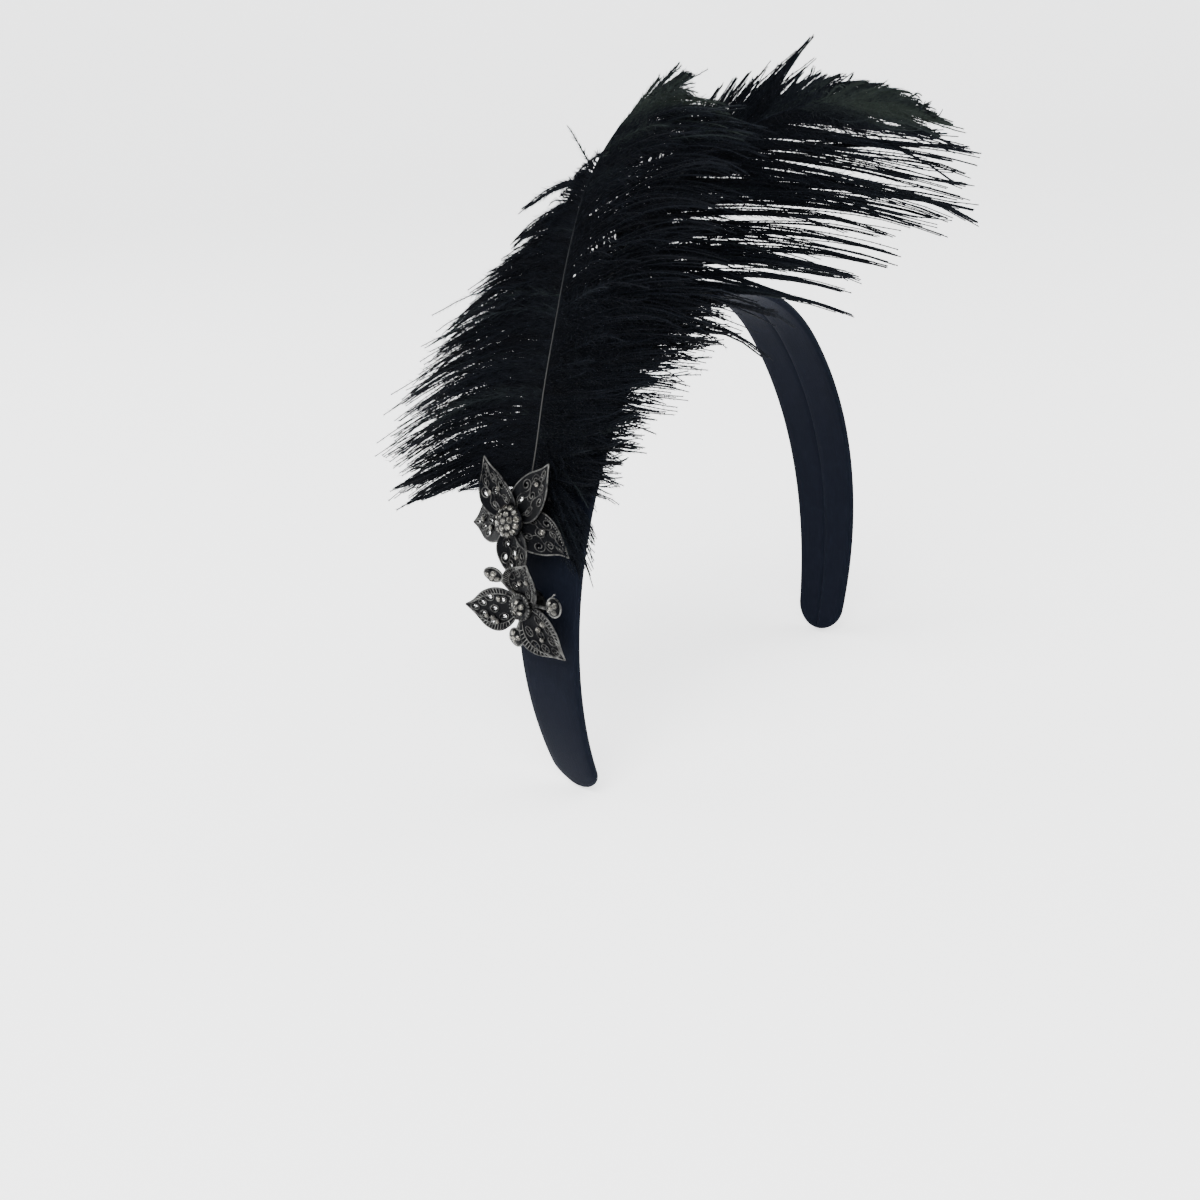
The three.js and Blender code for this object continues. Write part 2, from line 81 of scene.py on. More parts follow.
# A plume's shaft in its seat (out, back, up), and its barbs from root (0) to tip (1). A barb has a length, an
# angle from the shaft in degrees, a droop with gravity and a lift off the vane's face.
BARB_COLUMNS = ("at", "length", "angle", "droop", "lift")
PLUME_FRONT = {
    "node": "plume_front",
    "face": (0.95, 0.25, 0.1),
    "root_radius": 0.22,
    "tip_radius": 0.12,
    "shaft": (
        (2.6, -1, 0), (5.6, 1.5, 14), (9, 3.5, 32), (12, 6, 51), (15, 9, 72),
        (16, 12, 90), (16, 18, 104), (15, 26.5, 115), (14, 36.5, 122),
    ),
    "front": (
        (0.07, 37, 94, 0.45, 0.4), (0.12, 48, 94, 0.45, 0.26), (0.17, 54, 92, 0.45, 0.18),
        (0.25, 58, 92, 0.45, 0.1), (0.38, 50, 92, 0.45, 0.1), (0.53, 32, 92, 0.42, 0.1),
        (0.66, 10, 88, 0.38, 0.1), (0.77, 2, 66, 0.2, 0.1), (0.87, 1.5, 40, 0.1, 0), (1, 2, 15, 0.05, 0),
    ),
    "rear": (
        (0.07, 24, 105, 0.1, 0.4), (0.12, 26, 92, 0.1, 0.26), (0.17, 33, 80, 0.12, 0.18),
        (0.25, 46, 62, 0.2, 0.1), (0.38, 61, 46, 0.35, 0.1), (0.53, 72, 36, 0.5, 0.1),
        (0.66, 72, 34, 0.48, 0.1), (0.77, 54, 29, 0.4, 0.1), (0.87, 29, 27, 0.3, 0), (0.93, 15, 28, 0.2, 0),
        (1, 5, 12, 0.05, 0),
    ),
    # barbs that hang past the band's rear edge
    "skirt": (
        (0, 30, 112, 0.2, 0.5), (0.02, 33, 106, 0.2, 0.45), (0.035, 34, 98, 0.2, 0.38),
        (0.05, 31, 95, 0.1, 0.3), (0.06, 31.5, 86, 0, 0.28), (0.075, 35, 88, -0.12, 0.26),
        (0.09, 36.5, 87, -0.15, 0.25), (0.12, 37.5, 84, -0.12, 0.25), (0.15, 38.5, 85, -0.12, 0.2),
        (0.2, 41, 81, -0.06, 0.15), (0.24, 48, 70, 0.05, 0.12), (0.3, 56, 66, 0.1, 0.1),
        (0.38, 56, 66, 0.15, 0.1), (0.46, 60, 72, 0.15, 0.1),
    ),
}
PLUME_REAR = {
    "node": "plume_rear",
    "face": (0.9, 0.4, 0.1),
    "root_radius": 0.5,
    "tip_radius": 0.12,
    "shaft": (
        (1.7, 7, 0), (1, 6, 12), (-0.4, 5.5, 26), (-3, 5.5, 52), (-5, 11.5, 76), (-8, 22, 97),
        (-10, 36.5, 110), (-11, 54, 119), (-12, 72, 122), (-13, 87.5, 122), (-14, 98, 120),
    ),
    "front": (
        (0.03, 3, 50, 0.2, 0.3), (0.1, 10, 46, 0.25, 0.32), (0.2, 26, 40, 0.3, 0.32),
        (0.3, 28, 35, 0.25, 0.26), (0.42, 30, 30, 0.2, 0.06),
        (0.55, 28, 28, 0.15, 0), (0.66, 25, 28, 0.1, 0), (0.76, 18, 28, 0.1, 0),
        (0.86, 15, 24, 0.15, 0), (0.94, 10, 18, 0.1, 0), (1, 5, 8, 0.05, 0),
    ),
    "rear": (
        (0.03, 3, 25, 0.1, 0.5), (0.1, 8, 26, 0.1, 0.5), (0.16, 18, 42, 0.2, 0.45), (0.2, 36, 62, 0.3, 0.32),
        (0.3, 54, 58, 0.32, 0.26), (0.42, 74, 52, 0.28, 0.06),
        (0.55, 80, 42, 0.18, 0), (0.66, 76, 31, 0.1, 0), (0.76, 54, 21, 0.06, 0),
        (0.86, 30, 14, 0.05, 0), (0.94, 14, 10, 0.05, 0), (1, 5, 8, 0.05, 0),
    ),
}
# How the barbs of each fall lie:
# rows: where they stand and how they run
# barbs and density: how many stand in the vane, and how densely from root to tip
# down: the share that is short, with its shortest and longest as shares of a full barb
# barbules, fluff and open: how many pairs a barb has, their length as a share, and the angles they open to
# strand, rope and hook: barbs in a strand, its radius and the curl of its end
# ends: how unevenly the barbs of a strand end
# gather: how far a strand comes together, from and to which share of its length; loose barbs stay out of it
# reach, turn, sag and depth: scatter of length, angle in degrees, droop and lift
# partings: places where the vane splits, with the degrees that it opens to each side
USUAL_FALL = {"barbules": 30, "open": (16, 50), "hook": 0.6, "ends": 0.12, "loose": 0.05}
FALLS = (
    {**USUAL_FALL, "name": "plume_front_front_barbs", "plume": PLUME_FRONT, "side": -1, "rows": "front",
     "seed": 11, "barbs": 500, "density": ((0, 1), (0.5, 1), (0.64, 0.5), (0.72, 0.3), (0.77, 0), (1, 0)),
     "down": (0.5, 0.5, 0.98), "fluff": 1.15, "strand": 5.5, "rope": 0.5, "gather": (0.5, 0.68, 1.0),
     "reach": 0.11, "turn": 0.9, "sag": 0.02, "depth": 0.07, "partings": ((0.12, 1), (0.25, 5), (0.45, 0.4))},
    {**USUAL_FALL, "name": "plume_front_rear_barbs", "plume": PLUME_FRONT, "side": 1, "rows": "rear",
     "seed": 12, "barbs": 490,
     "density": ((0, 1.4), (0.25, 1.2), (0.5, 1), (0.75, 1.3), (0.88, 1.1), (1, 0.4)),
     "down": (0.45, 0.3, 0.8), "fluff": 1.1, "strand": 4.5, "rope": 0.4, "gather": (0.65, 0.45, 1.0),
     "reach": 0.18, "turn": 1.8, "sag": 0.035, "depth": 0.08,
     "partings": ((0.3, 1), (0.48, 0.6), (0.76, 0.4))},
    {**USUAL_FALL, "name": "plume_front_skirt_barbs", "plume": PLUME_FRONT, "side": 1, "rows": "skirt",
     "seed": 15, "barbs": 420, "density": ((0, 1.6), (0.05, 1.6), (0.2, 1), (0.3, 1), (1, 1)),
     "down": (0.35, 0.6, 0.97), "fluff": 1.0, "open": (14, 46), "strand": 4.0, "rope": 0.35, "hook": 0.5,
     "gather": (0.6, 0.55, 1.0), "loose": 0.06, "reach": 0.16, "turn": 2.2, "sag": 0.04, "depth": 0.04,
     "partings": ((0.11, 2), (0.2, 1.5), (0.26, 1))},
    {**USUAL_FALL, "name": "plume_rear_front_barbs", "plume": PLUME_REAR, "side": -1, "rows": "front",
     "seed": 23, "barbs": 430,
     "density": ((0, 0.25), (0.17, 0.25), (0.2, 1), (0.3, 1.1), (0.6, 1.5), (1, 1.2)),
     "down": (0.35, 0.35, 0.8), "barbules": 28, "fluff": 0.95, "open": (12, 40), "strand": 5.0, "rope": 0.35,
     "gather": (0.7, 0.4, 1.0), "loose": 0.04, "reach": 0.2, "turn": 2.2, "sag": 0.04, "depth": 0.06,
     "partings": ((0.64, 2), (0.72, 3))},
    {**USUAL_FALL, "name": "plume_rear_rear_barbs", "plume": PLUME_REAR, "side": 1, "rows": "rear",
     "seed": 14, "barbs": 490,
     "density": ((0, 0.25), (0.17, 0.25), (0.2, 1.4), (0.3, 1.5), (0.65, 1.2), (0.85, 0.8), (1, 0.7)),
     "down": (0.38, 0.4, 0.85), "barbules": 32, "fluff": 0.9, "open": (9, 28), "strand": 8.5, "rope": 0.45,
     "hook": 1.1, "ends": 0.05, "gather": (0.85, 0.4, 0.92), "loose": 0.01, "reach": 0.16, "turn": 0.8,
     "sag": 0.02, "depth": 0.03,
     "partings": ((0.345, 1.2), (0.39, 1.4), (0.455, 1.4), (0.52, 1), (0.56, 2.4), (0.62, 0.8), (0.655, 1.4),
                  (0.72, 0.8))},
)
# Single strands of a fall that stand out of the vane or fill its edge: as a barb's columns, then the barbs in
# each strand and how widely they root.
TUFT_COLUMNS = (*BARB_COLUMNS, "barbs", "wide")
TUFTS = {
    "plume_rear_front_barbs": (
        (0.58, 46, 0.4, -0.12, 0, 16, 0.014), (0.6, 41.5, 5, -0.1, 0, 12, 0.014),
        (0.62, 38.5, 4.5, -0.05, 0, 8, 0.01), (0.65, 34.5, 2.5, 0, 0, 8, 0.01),
        (0.56, 42, -1.4, -0.05, 0, 8, 0.012), (0.42, 57, 0.2, 0.05, 0.02, 12, 0.012),
        (0.5, 48.5, 2, 0.05, 0, 12, 0.012), (0.46, 53, 0.9, 0.05, 0, 10, 0.012),
        (0.54, 45.5, 3.8, 0.05, 0, 10, 0.012), (0.72, 23, 19, 0.1, 0, 10, 0.01),
        (0.76, 21, 17, 0.1, 0, 10, 0.01), (0.8, 21.7, 29, 0.3, 0, 12, 0.012),
        (0.84, 19, 34, 0.35, 0, 12, 0.012), (0.88, 16.3, 32.3, 0.35, 0, 12, 0.012),
        (0.92, 10.7, 25, 0.3, 0, 12, 0.012),
    ),
    "plume_rear_rear_barbs": (
        (0.86, 32.6, 9, 0.05, 0, 9, 0.008), (0.62, 75, 25.8, 0.12, 0, 12, 0.008),
        (0.54, 84, 43.4, 0.15, 0, 12, 0.008), (0.44, 78, 49, 0.25, 0.03, 12, 0.008),
        (0.4, 79, 47, 0.3, 0.06, 12, 0.008), (0.38, 73, 49, 0.3, 0.1, 12, 0.008),
        (0.35, 74, 50.5, 0.3, 0.15, 10, 0.006), (0.33, 76, 54, 0.32, 0.2, 11, 0.006),
    ),
    "plume_front_front_barbs": (
        (0.015, 8, 98, 0.3, 0.2, 18, 0.008), (0.03, 16, 93, 0.35, 0.35, 18, 0.006),
        (0.04, 22, 91, 0.4, 0.4, 14, 0.006), (0.06, 33, 94, 0.45, 0.4, 14, 0.006),
        (0.05, 40, 94, 0.45, 0.4, 14, 0.006), (0.08, 44, 89, 0.45, 0.35, 14, 0.006),
        (0.64, 22, 101, 0.5, 0.1, 9, 0.004), (0.7, 23, 105, 0.5, 0.1, 9, 0.004),
        (0.73, 18, 61, 0.05, 0, 1, 0.004), (0.88, 11.6, 5.6, 0, 0, 4, 0.006),
        (0.93, 10.8, 11, 0, 0, 4, 0.006),
    ),
    "plume_front_rear_barbs": (
        (0.87, 27.6, 27.4, -0.15, 0, 1, 0.003), (0.84, 24.4, 21.5, -0.1, 0, 2, 0.004),
        (0.45, 76, 56, 0.5, 0.1, 3, 0.004), (0.17, 48.6, 59.2, 0.4, 0.2, 2, 0.002),
    ),
}
PARTING_WIDTH = 0.016  # how far along the shaft a parting turns the barbs
STRAND_PARTING = 1.3  # share of a parting's degrees that a strand takes
BARB_PARTING = 0.7  # share of them that a barb takes by itself
TUFT_SCATTER = 0.15  # share of the vane's scatter that a single strand has
TUFT_PULL = 0.92  # how far the barbs of a single strand come together
TUFT_ENDS = 1.6  # how much more unevenly they end
TUFT_HOOK = 0.4  # share of the curl at the end that they have
LOOSE_PULL = 0.3  # how far loose barbs come together
ROOT_SCATTER = 0.4  # how far a root strays from its even place, in steps
BARB_SCATTER = 0.7  # share of the scatter that a full barb has by itself
DOWN_SCATTER = 1.4  # and a short one
SWING = 0.8  # how far a strand sways, in millimetres
SWAYS = 1.15  # how many times it does on its way
# The strands' tones differ at random, and the palest of them are painted as lit: painted light.
STRAND_TONE = (0.4, 0.2)  # middle and scatter of the strands' tones
BARB_TONE = 0.14  # scatter of the barbs' tones in a strand
# Painted light: the plumes' tips are painted paler and greenish, as light shining through the thin barbs.
PAINTED_TIP_LIGHT = 0.8  # how much paler the plumes' tips are
FULL_REACH = 1.06  # makes up for the scatter in the barbs' lengths
DOWN_FLUFF = 1.8  # how much longer the fluff of short barbs is
DOWN_OPEN = (16, 50)  # the angles that the fluff of short barbs opens to
SHAFT_RISE = 0.5  # how far a shaft stands out of its barbs at the root
BARB_STEPS = 11
BARB_SIDES = 3

# Flowers, in their seats: x out of the band, angles from the back round to the top, in degrees.
FLOWER_HEIGHT = 6.5
HUB_HALF = 1.4
STONE_SEAT = FLOWER_HEIGHT + HUB_HALF + 0.3
PETAL_START = 2.6
PETAL_BASE = 2.4
PETAL_CUP = 1.2
PETAL_COLUMNS = ("angle", "length", "width", "lift", "curl", "bow")
# The cells of a petal's plate: from and to along it, from and to across it as shares of the half width, then
# the cell's gap as the part has it: place along and across, and half sizes in millimetres.
CELL_COLUMNS = ("low", "high", "left", "right", "along", "across", "long", "wide")
PETAL_CELLS = tuple(dict(zip(CELL_COLUMNS, row)) for row in (
    (0.06, 0.34, 0, 1, 0.24, 0.4, 1.5, 0.8), (0.06, 0.34, -1, 0, 0.24, -0.4, 1.5, 0.8),
    (0.34, 0.56, -0.3, 0.3, 0.42, 0, 1.3, 0.9), (0.34, 0.56, 0.3, 1, 0.48, 0.6, 1.5, 1),
    (0.34, 0.56, -1, -0.3, 0.48, -0.6, 1.5, 1), (0.56, 0.73, 0, 1, 0.64, 0.36, 1.3, 0.8),
    (0.56, 0.73, -1, 0, 0.64, -0.36, 1.3, 0.8), (0.73, 0.97, -1, 1, 0.81, 0, 1.5, 0.7),
))
LONGEST_GAP = 0.075  # half of a gap, as a share of its petal's length
GAP_SHARE = 0.66  # the share of a gap that the filigree leaves open
WIRE_LIFT = 0.1  # how far wires, grains and stones stand off a petal, in millimetres
GRAIN_LIFT = 0.15
PETAL_STONE_LIFT = 0.75
RIM_EDGE = 0.985  # shares of the half width where the rim, the bars and the grains run
BAR_EDGE = 0.97
GRAIN_EDGE = 0.86
# Round florets of the lower flower: angle, reach, lift.
FLORETS = ((121, 10.6, 36), (12, 10.8, 2), (-105, 7.6, -6))
STUB_FLORET = 1
FLORET_START = 3.4
FLORET_RADIUS = 3.1
FLORET_SEAT = 0.8
# Clusters of stones on a dome: radius, rise, stone radius, and rings of (count, lean).
FLORET_CLUSTER = (2.6, 0.9, 0.85, ((1, 0), (4, 0.6)))
FLORET_SEED = 41
# hook: how far the points of the petals turn aside; stones: petal, place along and across it, and radius;
# grains: petal, edge, and from and to along it.
FLOWERS = {
    "flower_upper": {
        "seat": UPPER_SEAT,
        "hub": 4.4,
        "petals": (
            (124, 19, 11.5, 12, 1, 1.3), (56, 22, 12.5, 3, 2.2, -1.3), (-14, 21, 12.5, -9, 0.5, 1.3),
            (-78, 17, 12, -8, 0.5, 0), (-166, 19.5, 13, -14, 0, -1),
        ),
        "hook": 1.2,
        "filigree": "scrolls",
        "stones": (
            (0, 0.46, 0.34, 0.8), (0, 0.44, -0.3, 0.7), (1, 0.62, 0.1, 0.75), (2, 0.45, 0.1, 0.95),
            (3, 0.5, 0.2, 0.7), (4, 0.42, 0.35, 0.85), (4, 0.66, -0.15, 0.85), (4, 0.44, -0.4, 0.7),
        ),
        "grains": ((0, -1, 0.2, 0.62), (2, 1, 0.45, 0.95)),
        "cluster": (5.2, 2.6, 0.95, ((1, 0), (6, 0.4), (12, 0.76))),
        "florets": (),
        "seed": 21,
    },
    "flower_lower": {
        "seat": LOWER_SEAT,
        "hub": 4.2,
        "petals": ((74, 12.5, 14.5, 10, 0.6, 1.2), (190, 21, 13, 5, 0, 1), (-42, 18.5, 14, -9, 0, -1)),
        "hook": 0,
        "filigree": "ladders",
        "stones": (
            (0, 0.55, -0.35, 0.8), (0, 0.4, 0.1, 0.75), (1, 0.3, -0.45, 0.8), (1, 0.45, 0.45, 0.85),
            (1, 0.36, 0.6, 0.75), (1, 0.58, 0.4, 0.7), (2, 0.34, 0.1, 0.9), (2, 0.34, 0.55, 1.05),
            (2, 0.5, -0.1, 0.75),
        ),
        "grains": (),
        "cluster": (2.7, 1.4, 0.85, ((1, 0), (5, 0.64))),
        "florets": FLORETS,
        "seed": 31,
    },
}

# The stage, in metres.
FLOOR_GAP = 0.0006  # between the floor and the band's tips
FLOOR_FLAT = 1.4
FLOOR_BEND = 0.5
WALL_TOP = 0.78
FLOOR_SIDES = 72
LIT_MIDDLE = (0.02, 0.0, -0.04)
# Lights: name, place, which setting holds its power, size.
LIGHTS = (
    ("key_light", (0.75, 0.35, 0.95), "key", 0.8), ("fill_light", (-0.55, 0.7, 0.7), "fill", 1.0),
    ("front_light", (0.3, -0.9, 0.6), "fill", 1.0),
)
SKY_COLOUR = (0.96, 0.98, 1.0, 1.0)


def length_setting(name, description, default):
    """A length that a user may change, in metres."""
    return FloatProperty(name=name, description=description, default=default, unit="LENGTH", precision=5)


def colour_setting(name, description, default):
    """A colour that a user may change."""
    return FloatVectorProperty(
        name=name, description=description, default=default, subtype="COLOR", min=0, max=1)


class BandSettings(PropertyGroup):
    """Sizes and colour of the satin band."""

    crown_radius: length_setting("Crown radius", "Bend of the band over the head", 0.062)
    side_radius: length_setting("Side radius", "Bend of the band down each leg", 0.130)
    crown_angle: FloatProperty(name="Crown angle", description="Where the bend changes, from the crown",
                               default=math.radians(54.8), subtype="ANGLE")
    tip_angle: FloatProperty(name="Tip angle", description="Where a leg ends, from the crown",
                             default=math.radians(110), subtype="ANGLE")
    thickness: length_setting("Thickness", "Thickness of the wrapped band", 0.0026)
    crowning: length_setting("Crowning", "Rise of the outer face at its middle line", 0.0004)
    crown_width: length_setting("Crown width", "Width over the head", 0.028)
    tip_width: length_setting("Tip width", "Width at the round ends", 0.018)
    taper_from: length_setting("Taper from", "Length from the crown where the leg starts to narrow", 0.063)
    satin: colour_setting("Satin", "Colour of the satin", SLOT_COLOURS["band_satin"])


class PlumeSettings(PropertyGroup):
    """Sizes and colours of the ostrich plumes."""

    filament_radius: length_setting("Filament radius", "Radius of a barb at its root", 0.00031)
    barbule_length: length_setting("Barbule length", "Length of the fluff on a barb", 0.0026)
    barbule_radius: length_setting("Barbule radius", "Radius of the fluff at its root", 0.00019)
    # dark is the barbs' colour with painted shade deep in the plume at their roots; lit is the palest barbs,
    # painted as lit; tips is painted light shining through the thin tips.
    dark: colour_setting("Dark", "Colour deep in the plume", SLOT_COLOURS["plume_black"])
    lit: colour_setting("Lit", "Colour of the palest barbs", (0.0055, 0.0072, 0.0105))
    tips: colour_setting("Tips", "Greenish colour at the plumes' tips", (0.016, 0.021, 0.0185))
    shaft: colour_setting("Shaft", "Colour of the shaft", (0.04, 0.04, 0.039))


class FlowerSettings(PropertyGroup):
    """Sizes and colours of the filigree flowers and their stones."""

    plate: length_setting("Plate", "Thickness of a petal's plate", 0.0006)
    rim: length_setting("Rim wire", "Radius of the wire round a petal", 0.00028)
    scroll: length_setting("Scroll wire", "Radius of the scrolls in a petal", 0.00017)
    granule: length_setting("Granule", "Radius of the grains along a rim", 0.0003)
    # bright is the worn metal and also the painted glints and highlights on the wires.
    bright: colour_setting("Bright metal", "Colour of the worn edges", (0.2, 0.2, 0.19))
    dark: colour_setting("Dark metal", "Colour of the recesses", (0.004, 0.0042, 0.005))
    stone: colour_setting("Stone", "Colour of the cut stones", SLOT_COLOURS["smoky_stones"])


class StageSettings(PropertyGroup):
    """The camera, the floor and the light."""

    camera_at: FloatVectorProperty(name="Camera", description="Where the camera stands",
                                   default=(0.3514, 0.2948, 0.1064), subtype="XYZ", unit="LENGTH")
    camera_back: FloatVectorProperty(name="View axis", description="From the scene to the camera",
                                     default=(0.649, 0.637, 0.416), subtype="XYZ")
    camera_right: FloatVectorProperty(name="View right", description="To the right of the picture",
                                      default=(-0.667, 0.740, -0.091), subtype="XYZ")
    lens: FloatProperty(name="Lens", description="Focal length in millimetres", default=43.5)
    floor: colour_setting("Floor", "Colour of the floor", (0.94, 0.94, 0.94))
    key: FloatProperty(name="Key light", description="Power of the main light in watts", default=26.0)
    fill: FloatProperty(name="Fill light", description="Power of each other light in watts", default=11.0)
    sky: FloatProperty(name="Sky", description="Strength of the light from all round", default=1.15)
    floor_rows: IntProperty(name="Floor rows", description="Rings in the floor's mesh", default=40)


class Value:
    """A value in a material. Arithmetic on it adds Math nodes."""

    def __init__(self, finish, socket):
        self.finish = finish
        self.socket = socket

    def _math(self, operation, first, second):
        return self.finish.node("ShaderNodeMath", {"operation": operation}, {0: first, 1: second})["Value"]

    def __add__(self, other):
        return self._math("ADD", self, other)

    def __sub__(self, other):
        return self._math("SUBTRACT", self, other)

    def __rsub__(self, other):
        return self._math("SUBTRACT", other, self)

    def __mul__(self, other):
        return self._math("MULTIPLY", self, other)

    def __pow__(self, other):
        return self._math("POWER", self, other)

    def __rpow__(self, other):
        return self._math("POWER", other, self)

    def held(self):
        """The value kept between 0 and 1."""
        return self.finish.node("ShaderNodeClamp", {}, {"Value": self})["Result"]

    __radd__ = __add__
    __rmul__ = __mul__


class Finish:
    """A material with one principled shader, built from nodes."""

    def __init__(self, name):
        self.material = bpy.data.materials.new(name)
        self.material.use_nodes = True
        self.tree = self.material.node_tree
        self.shader = self.tree.nodes["Principled BSDF"]

    def node(self, kind, settings, sockets):
        """Adds a node: its settings first, then its sockets' values or links. Returns its outputs by name."""
        node = self.tree.nodes.new(kind)
        for name, value in settings.items():
            setattr(node, name, value)
        named = {s.name: s for s in reversed(node.inputs) if s.enabled}
        for name, value in sockets.items():
            self.feed(node.inputs[name] if isinstance(name, int) else named[name], value)
        return {s.name: Value(self, s) for s in node.outputs if s.enabled}

    def feed(self, socket, value):
        """Links a value to a socket, or sets a plain number or colour on it."""
        if isinstance(value, Value):
            self.tree.links.new(value.socket, socket)
        else:
            socket.default_value = value

    def shade(self, **sockets):
        """Feeds the shader's own sockets, named with spaces as underscores."""
        for name, value in sockets.items():
            self.feed(self.shader.inputs[name.replace("_", " ")], value)

    def mix(self, share, first, second):
        """A colour between two colours."""
        sockets = {"Factor": share, "A": first, "B": second}
        return self.node("ShaderNodeMix", {"data_type": "RGBA"}, sockets)["Result"]

    def note(self):
        """The note of a piece's points, as a vector."""
        return self.node("ShaderNodeAttribute", {"attribute_name": "note"}, {})["Vector"]

    def note_parts(self):
        """The three numbers of the note: X, Y and Z."""
        return self.node("ShaderNodeSeparateXYZ", {}, {"Vector": self.note()})

    def place(self):
        """The point on the piece, in the part's frame."""
        return self.node("ShaderNodeTexCoord", {}, {})["Object"]

    def noise(self, vector, scale, detail):
        """Smooth noise from 0 to 1 over a vector."""
        sockets = {"Vector": vector, "Scale": scale, "Detail": detail}
        return self.node("ShaderNodeTexNoise", {}, sockets)["Fac"]

    def stretched(self, vector, scale):
        """A vector scaled by three numbers."""
        made = self.node("ShaderNodeVectorMath", {"operation": "MULTIPLY"}, {0: vector, 1: scale})
        return made["Vector"]

    def bump(self, height, distance, strength):
        """A normal from a height."""
        sockets = {"Height": height, "Distance": distance, "Strength": strength}
        return self.node("ShaderNodeBump", {}, sockets)["Normal"]


def tint(paint, share=1.0):
    """A share of a colour, with full alpha."""
    return (*(share * part for part in paint), 1.0)


class Shape:
    """Points with quads and triangles, a note of three numbers and a place on the bake map for each point."""

    def __init__(self, points, quads=(), triangles=(), note=(0, 0, 0), places=None):
        self.points = np.asarray(points, float).reshape(-1, 3)
        count = len(self.points)
        self.quads = np.asarray(quads, int).reshape(-1, 4)
        self.triangles = np.asarray(triangles, int).reshape(-1, 3)
        self.note = np.broadcast_to(np.asarray(note, float), (count, 3)).reshape(-1, 3)
        self.places = np.zeros((count, 2)) if places is None else np.asarray(places, float).reshape(-1, 2)

    def moved(self, matrix):
        """The shape carried by a frame of four columns."""
        points = self.points @ matrix[:3, :3].T + matrix[:3, 3]
        return Shape(points, self.quads, self.triangles, self.note, self.places)


def joined(shapes):
    """One shape out of many, each keeping its own points."""
    starts = np.cumsum([0, *(len(s.points) for s in shapes)])
    return Shape(
        np.concatenate([s.points for s in shapes]),
        np.concatenate([s.quads + start for s, start in zip(shapes, starts)]),
        np.concatenate([s.triangles + start for s, start in zip(shapes, starts)]),
        np.concatenate([s.note for s in shapes]),
        np.concatenate([s.places for s in shapes]),
    )


def make_piece(name, shape, material, smooth_to, node):
    """Puts a shape in millimetres into a mesh in metres, in the place of a node of the part.

    Edges sharper than smooth_to degrees stay sharp; 0 leaves every face flat.
    """
    mesh = bpy.data.meshes.new(name)
    corners = np.concatenate([shape.quads.ravel(), shape.triangles.ravel()]).astype(np.int32)
    first = len(shape.quads) * 4
    starts = np.concatenate([np.arange(len(shape.quads)) * 4, first + np.arange(len(shape.triangles)) * 3])
    mesh.vertices.add(len(shape.points))
    mesh.vertices.foreach_set("co", (shape.points * MM).astype(np.float32).ravel())
    mesh.loops.add(len(corners))
    mesh.loops.foreach_set("vertex_index", corners)
    mesh.polygons.add(len(starts))
    mesh.polygons.foreach_set("loop_start", starts.astype(np.int32))
    mesh.polygons.foreach_set("use_smooth", np.full(len(starts), smooth_to > 0))
    note = mesh.attributes.new("note", "FLOAT_VECTOR", "POINT")
    note.data.foreach_set("vector", shape.note.astype(np.float32).ravel())
    if shape.places.any():
        layer = mesh.uv_layers.new(name=BAKE_MAP)
        layer.data.foreach_set("uv", shape.places[corners].astype(np.float32).ravel())
    mesh.update(calc_edges=True)
    if smooth_to > 0:
        mesh.set_sharp_from_angle(angle=math.radians(smooth_to))
    mesh.materials.append(material)
    piece = bpy.data.objects.new(name, mesh)
    bpy.context.scene.collection.objects.link(piece)
    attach(piece, BODY)
    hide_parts(node)


def unit(vectors):
    """Vectors of length 1."""
    return vectors / np.maximum(np.linalg.norm(vectors, axis=-1, keepdims=True), 1e-12)


def smooth_step(low, high, values):
    """0 below low, 1 above high, eased between."""
    share = np.clip((values - low) / (high - low), 0, 1)
    return share * share * (3 - 2 * share)


def circle(count, radius, height, shift=0.0):
    """Points round x at a radius and a height, turned by a share of a step."""
    turn = 2 * np.pi * (np.arange(count) + shift) / count
    return np.stack([np.full(count, height), radius * np.cos(turn), radius * np.sin(turn)], axis=-1)


def grid(*size):
    """The numbers of the points of a grid."""
    return np.arange(math.prod(size)).reshape(size)


def walls(index, closed=False):
    """Quads between the rings of a grid (rings, points), and from the last ring to the first if closed."""
    low = index if closed else index[..., :-1, :]
    high = np.roll(index, -1, axis=-2) if closed else index[..., 1:, :]
    quads = np.stack([low, np.roll(low, -1, axis=-1), np.roll(high, -1, axis=-1), high], axis=-1)
    return quads.reshape(-1, 4)


def fans(rings, flipped=False):
    """Triangles that fill rings of points, each a fan from the ring's first point."""
    step = np.arange(1, rings.shape[-1] - 1)
    corners = np.stack([0 * step, step + flipped, step + (not flipped)], axis=-1)
    return rings[..., corners].reshape(-1, 3)


def ends(index):
    """Triangles that close the first and the last ring of a grid."""
    return np.concatenate([fans(index[..., 0, :], flipped=True), fans(index[..., -1, :])])


